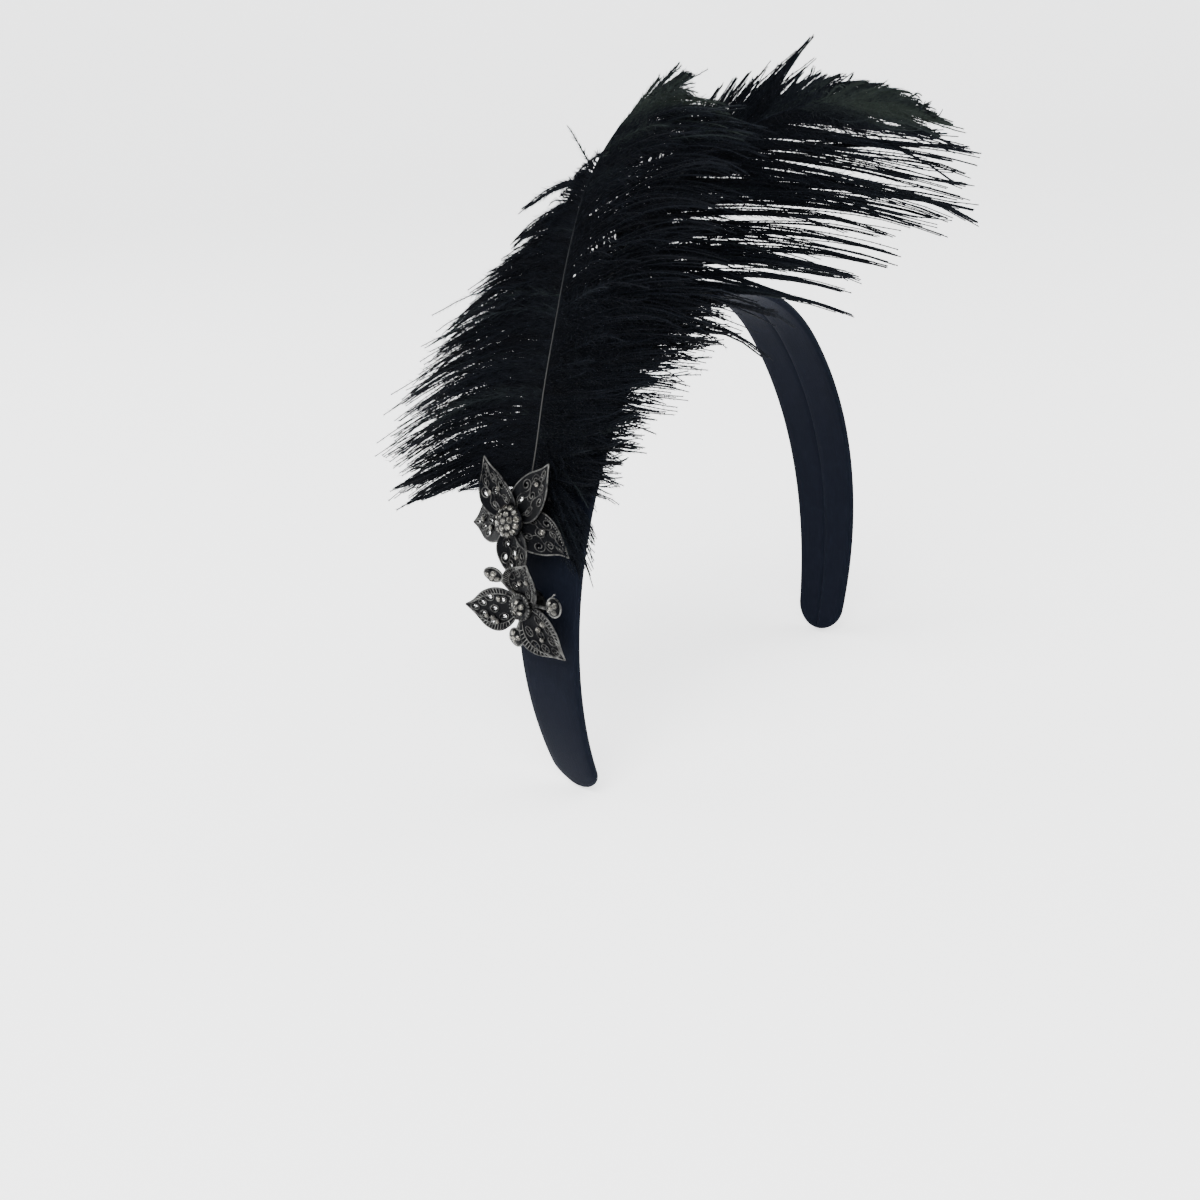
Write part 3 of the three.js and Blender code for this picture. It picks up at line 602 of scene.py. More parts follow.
def tubes(paths, facing, radius, sides, closed=False, note=(0, 0, 0), places=None):
    """Round tubes along many paths: each ring is the path's point plus the radius times a circle across it.

    paths is (tubes, steps, 3), facing the side that the first point of each ring looks to.
    """
    paths = np.asarray(paths, float)
    count, steps = paths.shape[:2]
    if closed:
        run = unit(np.roll(paths, -1, axis=1) - np.roll(paths, 1, axis=1))
    else:
        run = unit(np.gradient(paths, axis=1))
    facing = np.broadcast_to(facing, paths.shape)
    up = unit(facing - (facing * run).sum(-1, keepdims=True) * run)
    side = np.cross(run, up)
    turn = 2 * np.pi * np.arange(sides) / sides
    ring = np.cos(turn)[:, None] * up[..., None, :] + np.sin(turn)[:, None] * side[..., None, :]
    radius = np.broadcast_to(radius, (count, steps))
    points = paths[:, :, None] + radius[..., None, None] * ring
    index = grid(count, steps, sides)
    note = np.broadcast_to(np.asarray(note, float), (count, steps, 3))
    notes = np.broadcast_to(note[:, :, None], (count, steps, sides, 3))
    return Shape(points, walls(index, closed), () if closed else ends(index), notes.reshape(-1, 3), places)


def wire(path, facing, radius, sides, note, closed=False):
    """One round tube along a path, with a bright tone or a note for each step."""
    note = np.array([note, 0, 0]) if np.ndim(note) == 0 else np.asarray(note)[None]
    return tubes(path[None], facing, radius, sides, closed, note)


def turned(profile, sides, bright):
    """A body of revolution about x: a profile of (radius, height) carried round, with its ends closed."""
    profile = np.asarray(profile, float)
    points = profile[:, 0, None, None] * circle(sides, 1.0, 0.0) + profile[:, 1, None, None] * OUT
    index = grid(len(profile), sides)
    return Shape(points, walls(index), ends(index), (bright, 0, 0))


def balls(centres, radius, bright):
    """Small round grains: a sphere of few faces at each centre."""
    lean = np.linspace(0.12, np.pi - 0.12, 5)
    grain = turned(np.stack([np.sin(lean), -np.cos(lean)], axis=-1), 7, bright)
    centres = np.asarray(centres, float).reshape(-1, 3)
    points = centres[:, None] + radius * grain.points
    shift = len(grain.points) * np.arange(len(centres))[:, None, None]
    return Shape(points, grain.quads + shift, grain.triangles + shift, (bright, 0, 0))


class Band:
    """The band's curve, in millimetres: two bends a side, even over the crown, narrower down the legs."""

    def __init__(self, settings):
        self.crown_radius = settings.crown_radius / MM
        self.side_radius = settings.side_radius / MM
        self.crown_angle = settings.crown_angle
        self.thickness = settings.thickness / MM
        self.crowning = settings.crowning / MM
        self.crown_width = settings.crown_width / MM
        self.tip_width = settings.tip_width / MM
        self.taper_from = settings.taper_from / MM
        self.crown_length = self.crown_radius * self.crown_angle
        self.half_length = self.crown_length + self.side_radius * (settings.tip_angle - self.crown_angle)

    def angle(self, along):
        """The angle of the band's normal from the crown."""
        size = np.abs(along)
        past = np.maximum(0, size - self.crown_length)
        bend = np.minimum(size, self.crown_length) / self.crown_radius
        return np.sign(along) * (bend + past / self.side_radius)

    def point(self, along, across, out):
        """A point at a length along the band, across it and out from its inner face."""
        angle = self.angle(along)
        bend = np.clip(angle, -self.crown_angle, self.crown_angle)
        x = self.crown_radius * np.sin(bend) + self.side_radius * (np.sin(angle) - np.sin(bend))
        z = self.crown_radius * (np.cos(bend) - 1) + self.side_radius * (np.cos(angle) - np.cos(bend))
        place = np.broadcast_arrays(x + out * np.sin(angle), across, z + out * np.cos(angle))
        return np.stack(place, axis=-1)

    def half_width(self, along):
        """Half the width: the square of the way down the leg narrows it, and a circle rounds the tip."""
        size = np.abs(along)
        taper = np.clip((size - self.taper_from) / (self.half_length - self.taper_from), 0, 1)
        width = self.crown_width - (self.crown_width - self.tip_width) * taper**2
        tip = self.tip_width / 2
        past = np.clip((size - (self.half_length - tip)) / tip, 0, 1)
        return width / 2 * np.sqrt(1 - past**2)

    def seat(self, place):
        """The frame of a trim on the outer face: x out, y back, z up along the leg."""
        angle = float(self.angle(place[0]))
        pose = np.eye(4)
        pose[:3, 0] = (math.sin(angle), 0, math.cos(angle))
        pose[:3, 2] = (-math.cos(angle), 0, math.sin(angle))
        pose[:3, 3] = self.point(place[0], place[1], self.thickness)
        return pose


def band_shape(band):
    """The wrapped band: a flat section with round edges, carried along the band's curve.

    The outer face rises to its middle line, the inner face has a shallow seam along it,
    and both ends close where the section shrinks to nothing.
    """
    leg_steps, tip_steps, seam_depth, seam_width = 110, 24, 0.22, 0.025
    tip = band.tip_width / 2
    straight = band.half_length - tip
    round_tip = straight + tip * np.sin(np.radians(np.linspace(4, 89.6, tip_steps)))
    leg = np.concatenate([np.linspace(0, straight, leg_steps), round_tip])
    along = np.concatenate([-leg[:0:-1], leg])[:, None]
    half = band.half_width(along)
    edge = band.thickness / 2
    fade = np.clip((band.half_length - np.abs(along)) / edge, 0, 1)
    fade = np.sqrt(1 - (1 - fade) ** 2)
    flat = np.linspace(-1, 1, 15)
    seam = np.sort(np.concatenate([np.linspace(-1, 1, 11), [-0.045, -0.02, 0.02, 0.045]]))
    round_edge = np.radians(np.linspace(-90, 90, 9)[1:-1])
    reach = np.minimum(edge, 0.6 * half)
    inner = np.broadcast_to(seam, (len(along), len(seam))) * (half - reach)
    right = (half - reach) + reach * np.cos(round_edge)
    outer = -flat * (half - reach)
    left = -(half - reach) - reach * np.cos(round_edge)
    across = np.concatenate([inner, right, outer, left], axis=1)
    groove = seam_depth * np.exp(-((seam / seam_width) ** 2))
    rise = band.crowning * (1 - flat**2) ** 0.5
    side = edge * np.sin(round_edge)
    out = edge + np.concatenate([groove - edge, side, edge + rise, -side]) * fade
    index = grid(*across.shape)
    note = np.stack(np.broadcast_arrays(along, across, out), axis=-1)
    share = (along + band.half_length) / (2 * band.half_length)
    sweep = np.arange(across.shape[1]) / across.shape[1]
    places = np.stack(np.broadcast_arrays(share, sweep), axis=-1)
    return Shape(band.point(along, across, out), walls(index), ends(index), note.reshape(-1, 3), places)


def satin(settings):
    """Satin: long fine floats along the band, a soft sheen, slow changes of gloss and faint slubs."""
    finish = Finish("band_satin")
    cloth = finish.note()
    floats = finish.noise(finish.stretched(cloth, (0.5, 9.0, 9.0)), 1.0, 3.0)
    slubs = finish.noise(finish.stretched(cloth, (0.12, 1.6, 1.0)), 1.0, 2.0)
    slow = finish.noise(finish.stretched(cloth, (0.03, 0.06, 0.06)), 1.0, 2.0)
    tone = (0.35 * floats + 0.3 * slubs + 0.35 * slow).held()
    finish.shade(
        Base_Color=finish.mix(tone, tint(settings.satin, 0.15), tint(settings.satin, 0.45)),
        Roughness=0.36 + 0.18 * slow + 0.1 * floats,
        Normal=finish.bump(floats * 0.6 + slubs * 0.8, 0.00012, 0.5),
        Sheen_Weight=0.015,
        Sheen_Roughness=0.4,
        Sheen_Tint=(0.6, 0.7, 1.0, 1.0),
        Specular_IOR_Level=0.008,
    )
    return finish.material


class Plume:
    """A plume's shaft and the frame of its vane, in its seat, in millimetres.

    The shaft is a smooth curve of third degree through its stations.
    """

    def __init__(self, table, seat):
        self.table = table
        self.seat = seat
        stations = np.array(table["shaft"], float)
        first, last = 2 * stations[0] - stations[1], 2 * stations[-1] - stations[-2]
        guarded = np.concatenate([[first], stations, [last]])
        before, start, end, after = (guarded[i:len(guarded) - 3 + i, None] for i in range(4))
        share = np.linspace(0, 1, 40, endpoint=False)[:, None]
        curve = 0.5 * (
            2 * start
            + (end - before) * share
            + (2 * before - 5 * start + 4 * end - after) * share**2
            + (3 * start - before - 3 * end + after) * share**3
        )
        self.line = np.concatenate([curve.reshape(-1, 3), stations[-1:]])
        steps = np.linalg.norm(np.diff(self.line, axis=0), axis=1)
        self.at = np.concatenate([[0], np.cumsum(steps)]) / steps.sum()
        self.run = unit(np.gradient(self.line, self.at, axis=0))
        self.gravity = seat[:3, :3].T @ np.array([0, 0, -1.0])

    def sample(self, values, at):
        """Values along the shaft at places on it."""
        return np.stack([np.interp(at, self.at, values[:, k]) for k in range(3)], axis=-1)

    def frame(self, at):
        """The shaft's point, and the directions along it, out of the vane's face and to its rear side."""
        run = unit(self.sample(self.run, at))
        face = np.array(self.table["face"], float)
        face = unit(face - (run @ face)[:, None] * run)
        return self.sample(self.line, at), run, face, np.cross(run, face)


def shaft_shape(plume):
    """The shaft: a round tube that thins to its tip and stands out of its barbs at the root."""
    at = np.linspace(0, 1, 90)
    points, _, face, _ = plume.frame(at)
    radius = plume.table["root_radius"] * (1 - at) ** 0.8 + plume.table["tip_radius"] * at
    note = np.stack([at, np.full_like(at, 0.5), np.ones_like(at)], axis=-1)
    points = points + SHAFT_RISE * (1 - at[:, None]) * face
    return wire(points, face[None], radius[None], 8, note).moved(plume.seat)


class Barbs:
    """The barbs of one fall of a plume.

    A barb is its root on the shaft, plus its length times the share along it in its starting direction, plus
    its length times the square of that share in the direction of gravity and off the face. Barbs that lie
    side by side gather into a strand towards their tips, and each strand sways by a slow sine.
    """

    def __init__(self, plume, fall):
        self.plume = plume
        self.fall = fall
        self.side = fall["side"]
        self.rng = np.random.default_rng(fall["seed"])
        self.rows = np.array(plume.table[fall["rows"]], float)
        rows = np.reshape(TUFTS.get(fall["name"], ()), (-1, len(TUFT_COLUMNS)))
        self.tufts = dict(zip(TUFT_COLUMNS, rows.T))
        self.root()
        self.lay()
        self.trim()

    def root(self):
        """Spreads the barbs along the shaft by density, gathers neighbours in strands and adds the tufts."""
        fall, rng, in_vane = self.fall, self.rng, self.fall["barbs"]
        spread = (np.arange(in_vane) + 0.5 + rng.uniform(-ROOT_SCATTER, ROOT_SCATTER, in_vane)) / in_vane
        steps = np.linspace(self.rows[0, 0], self.rows[-1, 0], 200)
        density = np.cumsum(np.interp(steps, *zip(*fall["density"])))
        vane_at = np.interp(spread, (density - density[0]) / (density[-1] - density[0]), steps)
        beyond = (vane_at[:, None] > np.array(fall["partings"])[:, 0]).sum(axis=1)
        split = np.diff(beyond, prepend=0) != 0
        vane_strand = np.cumsum((rng.random(in_vane) < 1 / fall["strand"]) | split)
        tuft = np.repeat(np.arange(len(self.tufts["at"])), self.tufts["barbs"].astype(int))
        tuft_at = self.tufts["at"][tuft] + self.tufts["wide"][tuft] * rng.normal(size=len(tuft))
        self.tuft = tuft
        self.at = np.clip(np.concatenate([vane_at, tuft_at]), 0, 1)
        self.in_tuft = np.arange(len(self.at)) >= in_vane
        self.strand = np.concatenate([vane_strand, vane_strand[-1] + 1 + tuft])
        self.strands = self.strand[-1] + 1
        sizes = np.maximum(np.bincount(self.strand, minlength=self.strands), 1)
        self.middle = (np.bincount(self.strand, self.at, self.strands) / sizes)[self.strand]

    def lay(self):
        """Reads from the rows how each barb and each strand runs, and scatters it."""
        fall, rng, count = self.fall, self.rng, len(self.at)
        columns = dict(zip(BARB_COLUMNS, self.rows.T))
        own = {name: np.interp(self.at, columns["at"], column) for name, column in columns.items()}
        shared = {name: np.interp(self.middle, columns["at"], column) for name, column in columns.items()}
        for values in (own, shared):
            for name in BARB_COLUMNS[1:]:
                values[name][self.in_tuft] = self.tufts[name][self.tuft]
        self.steady = np.where(self.in_tuft, TUFT_SCATTER, 1.0)
        self.down = (rng.random(count) < fall["down"][0]) & ~self.in_tuft
        strand_turn = STRAND_PARTING * self.parting(self.middle)
        barb_turn = BARB_PARTING * self.parting(self.at)
        shared["angle"] = shared["angle"] + np.where(self.in_tuft, 0, strand_turn)
        own["angle"] = own["angle"] + np.where(self.in_tuft | self.down, 0, barb_turn)
        alone = np.where(self.down, DOWN_SCATTER, BARB_SCATTER)
        for name, size in (("angle", fall["turn"]), ("droop", fall["sag"]), ("lift", fall["depth"])):
            shift = size * rng.normal(size=self.strands)[self.strand] * self.steady
            shared[name] = shared[name] + shift
            own[name] = own[name] + np.where(self.down, 0, shift) + alone * size * rng.normal(size=count)
        self.own, self.shared = own, shared

    def trim(self):
        """Gives the barbs their lengths, and the strands their sway, their hooked ends and their tones."""
        fall, rng, count = self.fall, self.rng, len(self.at)
        strand, pairs = self.strand, (self.strands, 2)
        short = FULL_REACH * (1 - fall["reach"] * rng.random(self.strands)[strand] ** 1.6 * self.steady)
        self.guide_length = self.shared["length"] * short
        uneven = fall["ends"] * np.where(self.in_tuft, TUFT_ENDS, 1) * rng.random(count)
        down_share = rng.uniform(*fall["down"][1:], count)
        self.length = self.own["length"] * short * ((1 - uneven) * np.where(self.down, down_share, 1))
        loose = self.down | (rng.random(count) < fall["loose"])
        self.sway = rng.uniform(0, 1, pairs)[strand]
        self.swing = rng.normal(0, SWING, pairs)[strand] * self.steady[:, None]
        curl = np.where(self.in_tuft, TUFT_HOOK, 1)[:, None]
        self.hook = rng.normal(0, fall["hook"], pairs)[strand] * curl
        self.pull = np.where(self.in_tuft, TUFT_PULL, np.where(loose, LOOSE_PULL, fall["gather"][0]))
        self.offset = rng.normal(0, fall["rope"], (count, 2))
        self.fluff = fall["fluff"] * np.where(self.down, DOWN_FLUFF, 1.0)
        # The tones carry painted light: the palest strands and the plumes' tips are painted as lit.
        tone = rng.normal(*STRAND_TONE, self.strands)[strand] + rng.normal(0, BARB_TONE, count)
        self.tone = np.clip(tone + PAINTED_TIP_LIGHT * smooth_step(0.66, 0.92, self.at), 0, 1.4)

    def parting(self, at):
        """The degrees that the partings turn barbs: up beyond each, down before it, fading with distance."""
        places, degrees = np.array(self.fall["partings"]).T
        away = at[:, None] - places
        return -(degrees * np.sign(away) * np.exp(-np.abs(away) / PARTING_WIDTH)).sum(axis=1)

    def curve(self, at, values, length, share):
        """The barbs' points at shares of their length, with the vane's face and the way across it."""
        root, run, face, rear = self.plume.frame(at)
        angle = np.radians(values["angle"])[:, None]
        start = np.cos(angle) * run + self.side * np.sin(angle) * rear
        bend = values["droop"][:, None] * self.plume.gravity + values["lift"][:, None] * face
        share = share[..., None]
        course = share * start[:, None] + share**2 * bend[:, None]
        return root[:, None] + length[:, None, None] * course, face, np.cross(face, start)

    def points(self, share):
        """The barbs' points, gathered into strands: (barbs, steps, 3), with the vane's face."""
        share = np.broadcast_to(share, (len(self.at), share.shape[-1]))
        own, face, across = self.curve(self.at, self.own, self.length, share)
        down_strand = share * (self.length / self.guide_length)[:, None]
        shared, _, _ = self.curve(self.middle, self.shared, self.guide_length, down_strand)
        pull = self.pull[:, None] * smooth_step(*self.fall["gather"][1:], down_strand)
        share = share[..., None]
        ways = np.stack([across, face], axis=1)
        aside = np.einsum("bk,bkc->bc", self.offset, ways)[:, None] * (1.2 - 0.5 * share)
        wave = np.sin(2 * np.pi * (SWAYS * share + self.sway[:, None])) * share**2
        moves = self.swing[:, None] * wave + self.hook[:, None] * share**9
        return own + pull[..., None] * (shared + aside - own) + np.einsum("bsk,bkc->bsc", moves, ways), face


def filament_shape(barbs, radius):
    """The barbs' filaments: tubes that thin to half at the tip, on the left half of the bake map."""
    share = np.linspace(0, 1, BARB_STEPS)
    paths, face = barbs.points(share)
    count = len(paths)
    note = np.stack(np.broadcast_arrays(share, barbs.tone[:, None], 0.0), axis=-1)
    row = np.arange(count)[:, None, None]
    lane = np.arange(BARB_SIDES) / (BARB_SIDES - 1)
    places = np.broadcast_arrays(0.48 * share[None, :, None], (row + 0.1 + 0.8 * lane) / count)
    thin = radius * (1 - 0.5 * share)
    return tubes(paths, face[:, None], thin[None], BARB_SIDES, note=note, places=np.stack(places, axis=-1))


def barbule_shape(barbs, reach, radius):
    """The fluff: thin spikes of four faces that stand off both sides of the filaments.

    A spike leaves its filament forwards and sideways at a random roll. Spikes are longest a third of the
    way out and shorten to the barb's tip. Their places are on the right half of the bake map.
    """
    rng = barbs.rng
    count, barbules = len(barbs.at), barbs.fall["barbules"]
    size = (count, barbules, 2, 1)
    stations = np.linspace(0.02, 0.99, barbules)
    roots, face = barbs.points(stations)
    run = unit(np.gradient(roots, axis=1))[:, :, None]
    up = unit(face[:, None, None] - (face[:, None, None] * run).sum(-1, keepdims=True) * run)
    across = np.cross(run, up)
    sign = np.array([1.0, -1.0])[:, None]
    roll = rng.normal(0, 0.9, size)
    least, most = np.where(barbs.down[:, None], DOWN_OPEN, barbs.fall["open"]).T.reshape(2, -1, 1, 1, 1)
    opened = np.radians(least + (most - least) * rng.random(size))
    aside = sign * (np.cos(roll) * across + np.sin(roll) * up)
    way = np.cos(opened) * run + np.sin(opened) * aside
    shrink = (0.75 + 0.25 * smooth_step(0, 0.3, stations)) * (1 - 0.6 * smooth_step(0.65, 1, stations))
    shrink = shrink * (barbs.fluff * (0.45 + 0.55 * np.minimum(1, barbs.length / 30)))[:, None]
    long = reach * shrink[:, :, None, None] * rng.uniform(0.55, 1.15, size)
    base = unit(np.cross(way, up + 0.3 * run))
    other = np.cross(way, base)
    foot = radius * (1 - 0.5 * stations)[:, None, None]
    middle = np.broadcast_to(roots[:, :, None], way.shape)
    thirds = 2 * math.pi * np.arange(3) / 3
    feet = [middle + foot * (math.cos(a) * base + math.sin(a) * other) for a in thirds]
    corners = np.stack([*feet, middle + long * way], axis=-2)
    faces = grid(count * barbules * 2, 4)[:, [[0, 1, 3], [1, 2, 3], [2, 0, 3], [0, 2, 1]]]
    tips = np.broadcast_to([0.0, 0.0, 0.0, 0.6], corners.shape[:-1])
    notes = np.broadcast_arrays(stations[:, None, None], barbs.tone[:, None, None, None], tips)
    lane = (grid(barbules, 2, 1) + np.array([0.0, 0.9, 0.45, 0.45])) / (barbules * 2)
    row = (grid(count, 1, 1, 1) + np.array([0.0, 0.0, 0.15, 0.9])) / count
    places = np.broadcast_arrays(0.5 + 0.5 * lane, row)
    return Shape(corners, (), faces, np.stack(notes, axis=-1).reshape(-1, 3), np.stack(places, axis=-1))


def feather(settings):
    """Dyed ostrich: near black, paler on some strands, at the barbs' ends and on the shaft. The strands' tones
    differ at random, and their pale end is painted light, as if lit. The barbs' roots darken to painted shade
    deep in the plume, and the greenish plume tips are painted light shining through the thin barbs.
    """
    finish = Finish("plume_black")
    note = finish.note_parts()
    patches = finish.noise(finish.stretched(finish.place(), (60.0, 60.0, 60.0)), 1.0, 2.0)
    # Painted light and shade: each barb is painted darker at its root, deep in the plume, and paler towards
    # its end, on pale strands and at the plumes' tips, as if lit.
    tone = (note["Y"] * 0.6 + note["X"] * 0.25 + patches * 0.5 - 0.3).held()
    # Painted light shining through the thin tips of the plumes, greenish.
    painted_light_through_tips = (note["Y"] * 1.6 + patches * 0.6 - 1.5).held()
    shaft = (note["Z"] * 3.3 - 2.3).held() * (1.15 - note["X"] * 1.6).held()
    black = finish.mix(tone, tint(settings.dark, 0.3), tint(settings.lit))
    barb = finish.mix(painted_light_through_tips, black, tint(settings.tips))
    finish.shade(
        Base_Color=finish.mix(shaft, barb, tint(settings.shaft)),
        Roughness=0.7 - 0.14 * patches,
        Specular_IOR_Level=0.03,
        Sheen_Weight=0.01,
        Sheen_Roughness=0.4,
    )
    return finish.material


def leaf_frame(angle, lift, start, height):
    """The frame of a leaf of a flower: x out of its face, y along it, z across it. Angles are in radians."""
    outward = np.array([0, math.cos(angle), math.sin(angle)])
    along = math.cos(lift) * outward + math.sin(lift) * OUT
    across = np.cross(OUT, outward)
    pose = np.eye(4)
    pose[:3] = np.stack([np.cross(along, across), along, across, start * outward + height * OUT], axis=-1)
    return pose


def shifted(x, y=0.0):
    """A frame that only moves, out and along."""
    pose = np.eye(4)
    pose[:2, 3] = (x, y)
    return pose


class Petal:
    """A pointed petal: half width by a leaning sine, cupped across and curled along, in the flower's seat.

    Its middle line bows to one side, and its point hooks to the other by the fourth power of the way along.
    """

    def __init__(self, row, hook):
        values = dict(zip(PETAL_COLUMNS, row))
        self.hook = hook
        self.length = values["length"]
        self.width = values["width"]
        self.curl = values["curl"]
        self.bow = values["bow"]
        angle, lift = math.radians(values["angle"]), math.radians(values["lift"])
        self.frame = leaf_frame(angle, lift, PETAL_START, FLOWER_HEIGHT)
        self.face = self.frame[:3, 0]

    def half(self, share):
        """Half the width at shares of the length."""
        share = np.clip(share, 0, 1)
        swell = np.abs(np.sin(np.pi * share**0.85)) ** 0.8
        point = 1 - 0.4 * smooth_step(0.6, 1, share)
        return PETAL_BASE * (1 - share) ** 2 + self.width / 2 * swell * (1 - 0.25 * share) * point

    def point(self, along, across, height):
        """A point of the petal from lengths along and across it and a height off its face."""
        share = along / self.length
        rise = self.curl * share**2 + PETAL_CUP * (2 * across / self.width) ** 2
        aside = self.bow * 4 * share * (1 - share) - self.hook * share**4
        local = np.stack(np.broadcast_arrays(rise + height, along, across + aside), axis=-1)
        return local @ self.frame[:3, :3].T + self.frame[:3, 3]

    def spot(self, share, side, height):
        """A point at shares of the length and of the half width."""
        return self.point(share * self.length, side * self.half(share), height)

    def gap(self, cell, share, turn):
        """An oval round a cell's gap, as lengths along and across, at a share of the gap's size."""
        long = min(cell["long"], LONGEST_GAP * self.length)
        along = cell["along"] * self.length + share * long * np.cos(turn)
        across = cell["across"] * self.half(cell["along"]) + share * cell["wide"] * np.sin(turn)
        return np.stack([along, across], axis=-1)


def plate_shape(petal, thickness):
    """The pierced plate: each cell is a flat ring between its border and an oval gap, closed all round."""
    around = 32
    turn = 2 * np.pi * np.arange(around) / around
    square = np.maximum(np.abs(np.cos(turn)), np.abs(np.sin(turn)))
    heights = np.array([1, 1, 1, -1, -1, -1]) * thickness / 2
    shapes = []
    for cell in PETAL_CELLS:
        reach, side = (cell["high"] - cell["low"]) / 2, (cell["right"] - cell["left"]) / 2
        share = cell["low"] + reach + reach * np.cos(turn) / square
        width = (cell["left"] + side + side * np.sin(turn) / square) * petal.half(share)
        outer = np.stack([share * petal.length, width], axis=-1)
        inner = petal.gap(cell, GAP_SHARE, turn)
        between = (outer + inner) / 2
        flat = np.stack([outer, between, inner, inner, between, outer], axis=1)
        points = petal.point(flat[..., 0], flat[..., 1], heights)
        faces = walls(grid(around, len(heights)), closed=True)[:, ::-1]
        shapes.append(Shape(points, faces, note=(0.05, 0, 0)))
    return joined(shapes)


def edge_line(steps):
    """Shares along a petal, up one edge to the point and back down the other, with the side of each."""
    step = np.linspace(-1, 1, steps)
    return np.clip(1 - np.abs(step) ** 1.15, 0, 1), np.sign(step)


def rim_shape(petal, radius):
    """The wire round a petal, brighter to its point."""
    share, side = edge_line(141)
    note = np.stack([0.36 + 0.3 * share, share, 0 * share], axis=-1)
    return wire(petal.spot(share, side * RIM_EDGE, WIRE_LIFT), petal.face, radius, 9, note)


def scroll_shapes(petal, radius, height):
    """Scrolls of wire: one winds into each gap and ends in a grain, and two stems wave up the petal."""
    shapes = []
    wind = np.linspace(0, 1, 34)
    for number, cell in enumerate(PETAL_CELLS):
        way = 1 if cell["across"] >= 0 else -1
        turn = way * 2 * np.pi * (1.45 * wind + 0.19 * number)
        size = (1.75 - 1.3 * wind**0.9)[:, None]
        middle = petal.gap(cell, 0, turn)
        oval = middle + size * (petal.gap(cell, 1, turn) - middle)
        line = petal.point(oval[:, 0], oval[:, 1], height)
        note = np.stack([0.35 + 0.3 * wind, wind, 0 * wind], axis=-1)
        shapes.append(wire(line, petal.face, radius, 5, note))
        shapes.append(balls(line[-1:], radius * 1.9, 0.85))
    share = np.linspace(0.04, 0.9, 60)
    for way in (-1, 1):
        wave = way * (0.16 + 0.34 * np.sin(np.pi * 2.6 * share) ** 2 * (1 - 0.5 * share))
        shapes.append(wire(petal.spot(share, wave, height), petal.face, radius * 0.9, 6, 0.5))
    return shapes


def ladder_shapes(petal, radius, height):
    """A ladder inside the rim: a line with short bars to the rim, then a ring and two bars at each gap."""
    inset, inset_share, bars = 0.7, (0.05, 0.83), 15
    share, side = edge_line(121)
    low, along = inset_share
    shapes = [wire(petal.spot(low + along * share, side * inset, height), petal.face, radius, 6, 0.6)]
    place = np.linspace(0.12, 0.97, bars)
    for way in (-1, 1):
        outer = petal.spot(place, way * BAR_EDGE, height * 0.7)
        inner = petal.spot(low + along * place, way * inset, height)
        share = np.linspace(0, 1, 4)[None, :, None]
        lines = outer[:, None] * (1 - share) + inner[:, None] * share
        shapes.append(tubes(lines, petal.face, radius * 0.9, 6, note=(0.72, 0, 0)))
    turn = 2 * np.pi * np.arange(30) / 30
    bar = np.linspace(-1.2, 1.2, 5)
    for number, cell in enumerate(PETAL_CELLS):
        oval = petal.gap(cell, 1.25, turn)
        ring = petal.point(oval[:, 0], oval[:, 1], height)
        shapes.append(wire(ring, petal.face, radius, 6, 0.45, closed=True))
        middle = petal.gap(cell, 0, bar)
        for lean in (0.6 + number, 2.2 + number):
            oval = middle + bar[:, None] * (petal.gap(cell, 1, np.full(5, lean)) - middle)
            line = petal.point(oval[:, 0], oval[:, 1], height)
            shapes.append(wire(line, petal.face, radius * 0.8, 6, 0.4))
    return shapes


FILIGREE = {"scrolls": scroll_shapes, "ladders": ladder_shapes}


def grain_shape(petal, radius, height, side, low, high):
    """A row of grains inside the rim, on one edge of a petal."""
    count = max(2, int((high - low) * petal.length / (2.1 * radius)))
    share = np.linspace(low, high, count)
    return balls(petal.spot(share, side * GRAIN_EDGE, height), radius, 0.95)


def stone_shape(radius, tone):
    """A cut stone about x: a tapered back, the girdle, a ring of facets turned by half and a flat table."""
    sides = 8
    rings = ((-0.42, 0.78, 0), (-0.06, 1.0, 0.5), (0.06, 1.0, 0.5), (0.26, 0.84, 0), (0.46, 0.56, 0.5))
    points = [circle(sides, size, height, shift) for height, size, shift in rings]
    index = grid(len(rings), sides)
    facets = walls(index)
    faces = np.concatenate([facets[:, :3], facets[:, [0, 2, 3]], ends(index)])
    return Shape(radius * np.concatenate(points), (), faces, (tone, 0, 0))


def setting_shape(radius):
    """The metal round a stone: a thin collar and small claws over its girdle, about x."""
    thin = 0.17
    collar = wire(circle(20, 1.02 * radius, -0.1 * radius), OUT, thin, 6, 0.4, closed=True)
    return joined([collar, balls(circle(4, 0.99 * radius, 0.12 * radius, 0.5), thin, 0.6)])


def cluster_shapes(cluster, seed):
    """The stones of a cluster in rings that lean with a dome, and the dome with the stones' collars."""
    radius, rise, stone, rings = cluster
    rng = np.random.default_rng(seed)
    ball = (radius**2 + rise**2) / (2 * rise)
    sweep = math.asin(radius / ball)
    frames = []
    for ring, (count, share) in enumerate(rings):
        angle = sweep * share
        height = ball * (math.cos(angle) - math.cos(sweep))
        turns = 2 * np.pi * (np.arange(count) + 0.3 * ring) / count
        frames.extend(leaf_frame(turn, -angle, ball * math.sin(angle), height) for turn in turns)
    gems = joined([stone_shape(stone, rng.uniform(0, 1)).moved(m) for m in frames])
    lean = np.linspace(sweep, 0.06, 8)
    dome = np.stack([ball * np.sin(lean), ball * (np.cos(lean) - math.cos(sweep)) - 0.12], axis=-1)
    foot = np.array([[radius * 0.6, -0.25], [radius, -0.25]])
    bed = turned(np.concatenate([foot, dome]), 28, 0.2)
    return gems, joined([bed, *(setting_shape(stone).moved(m) for m in frames)])


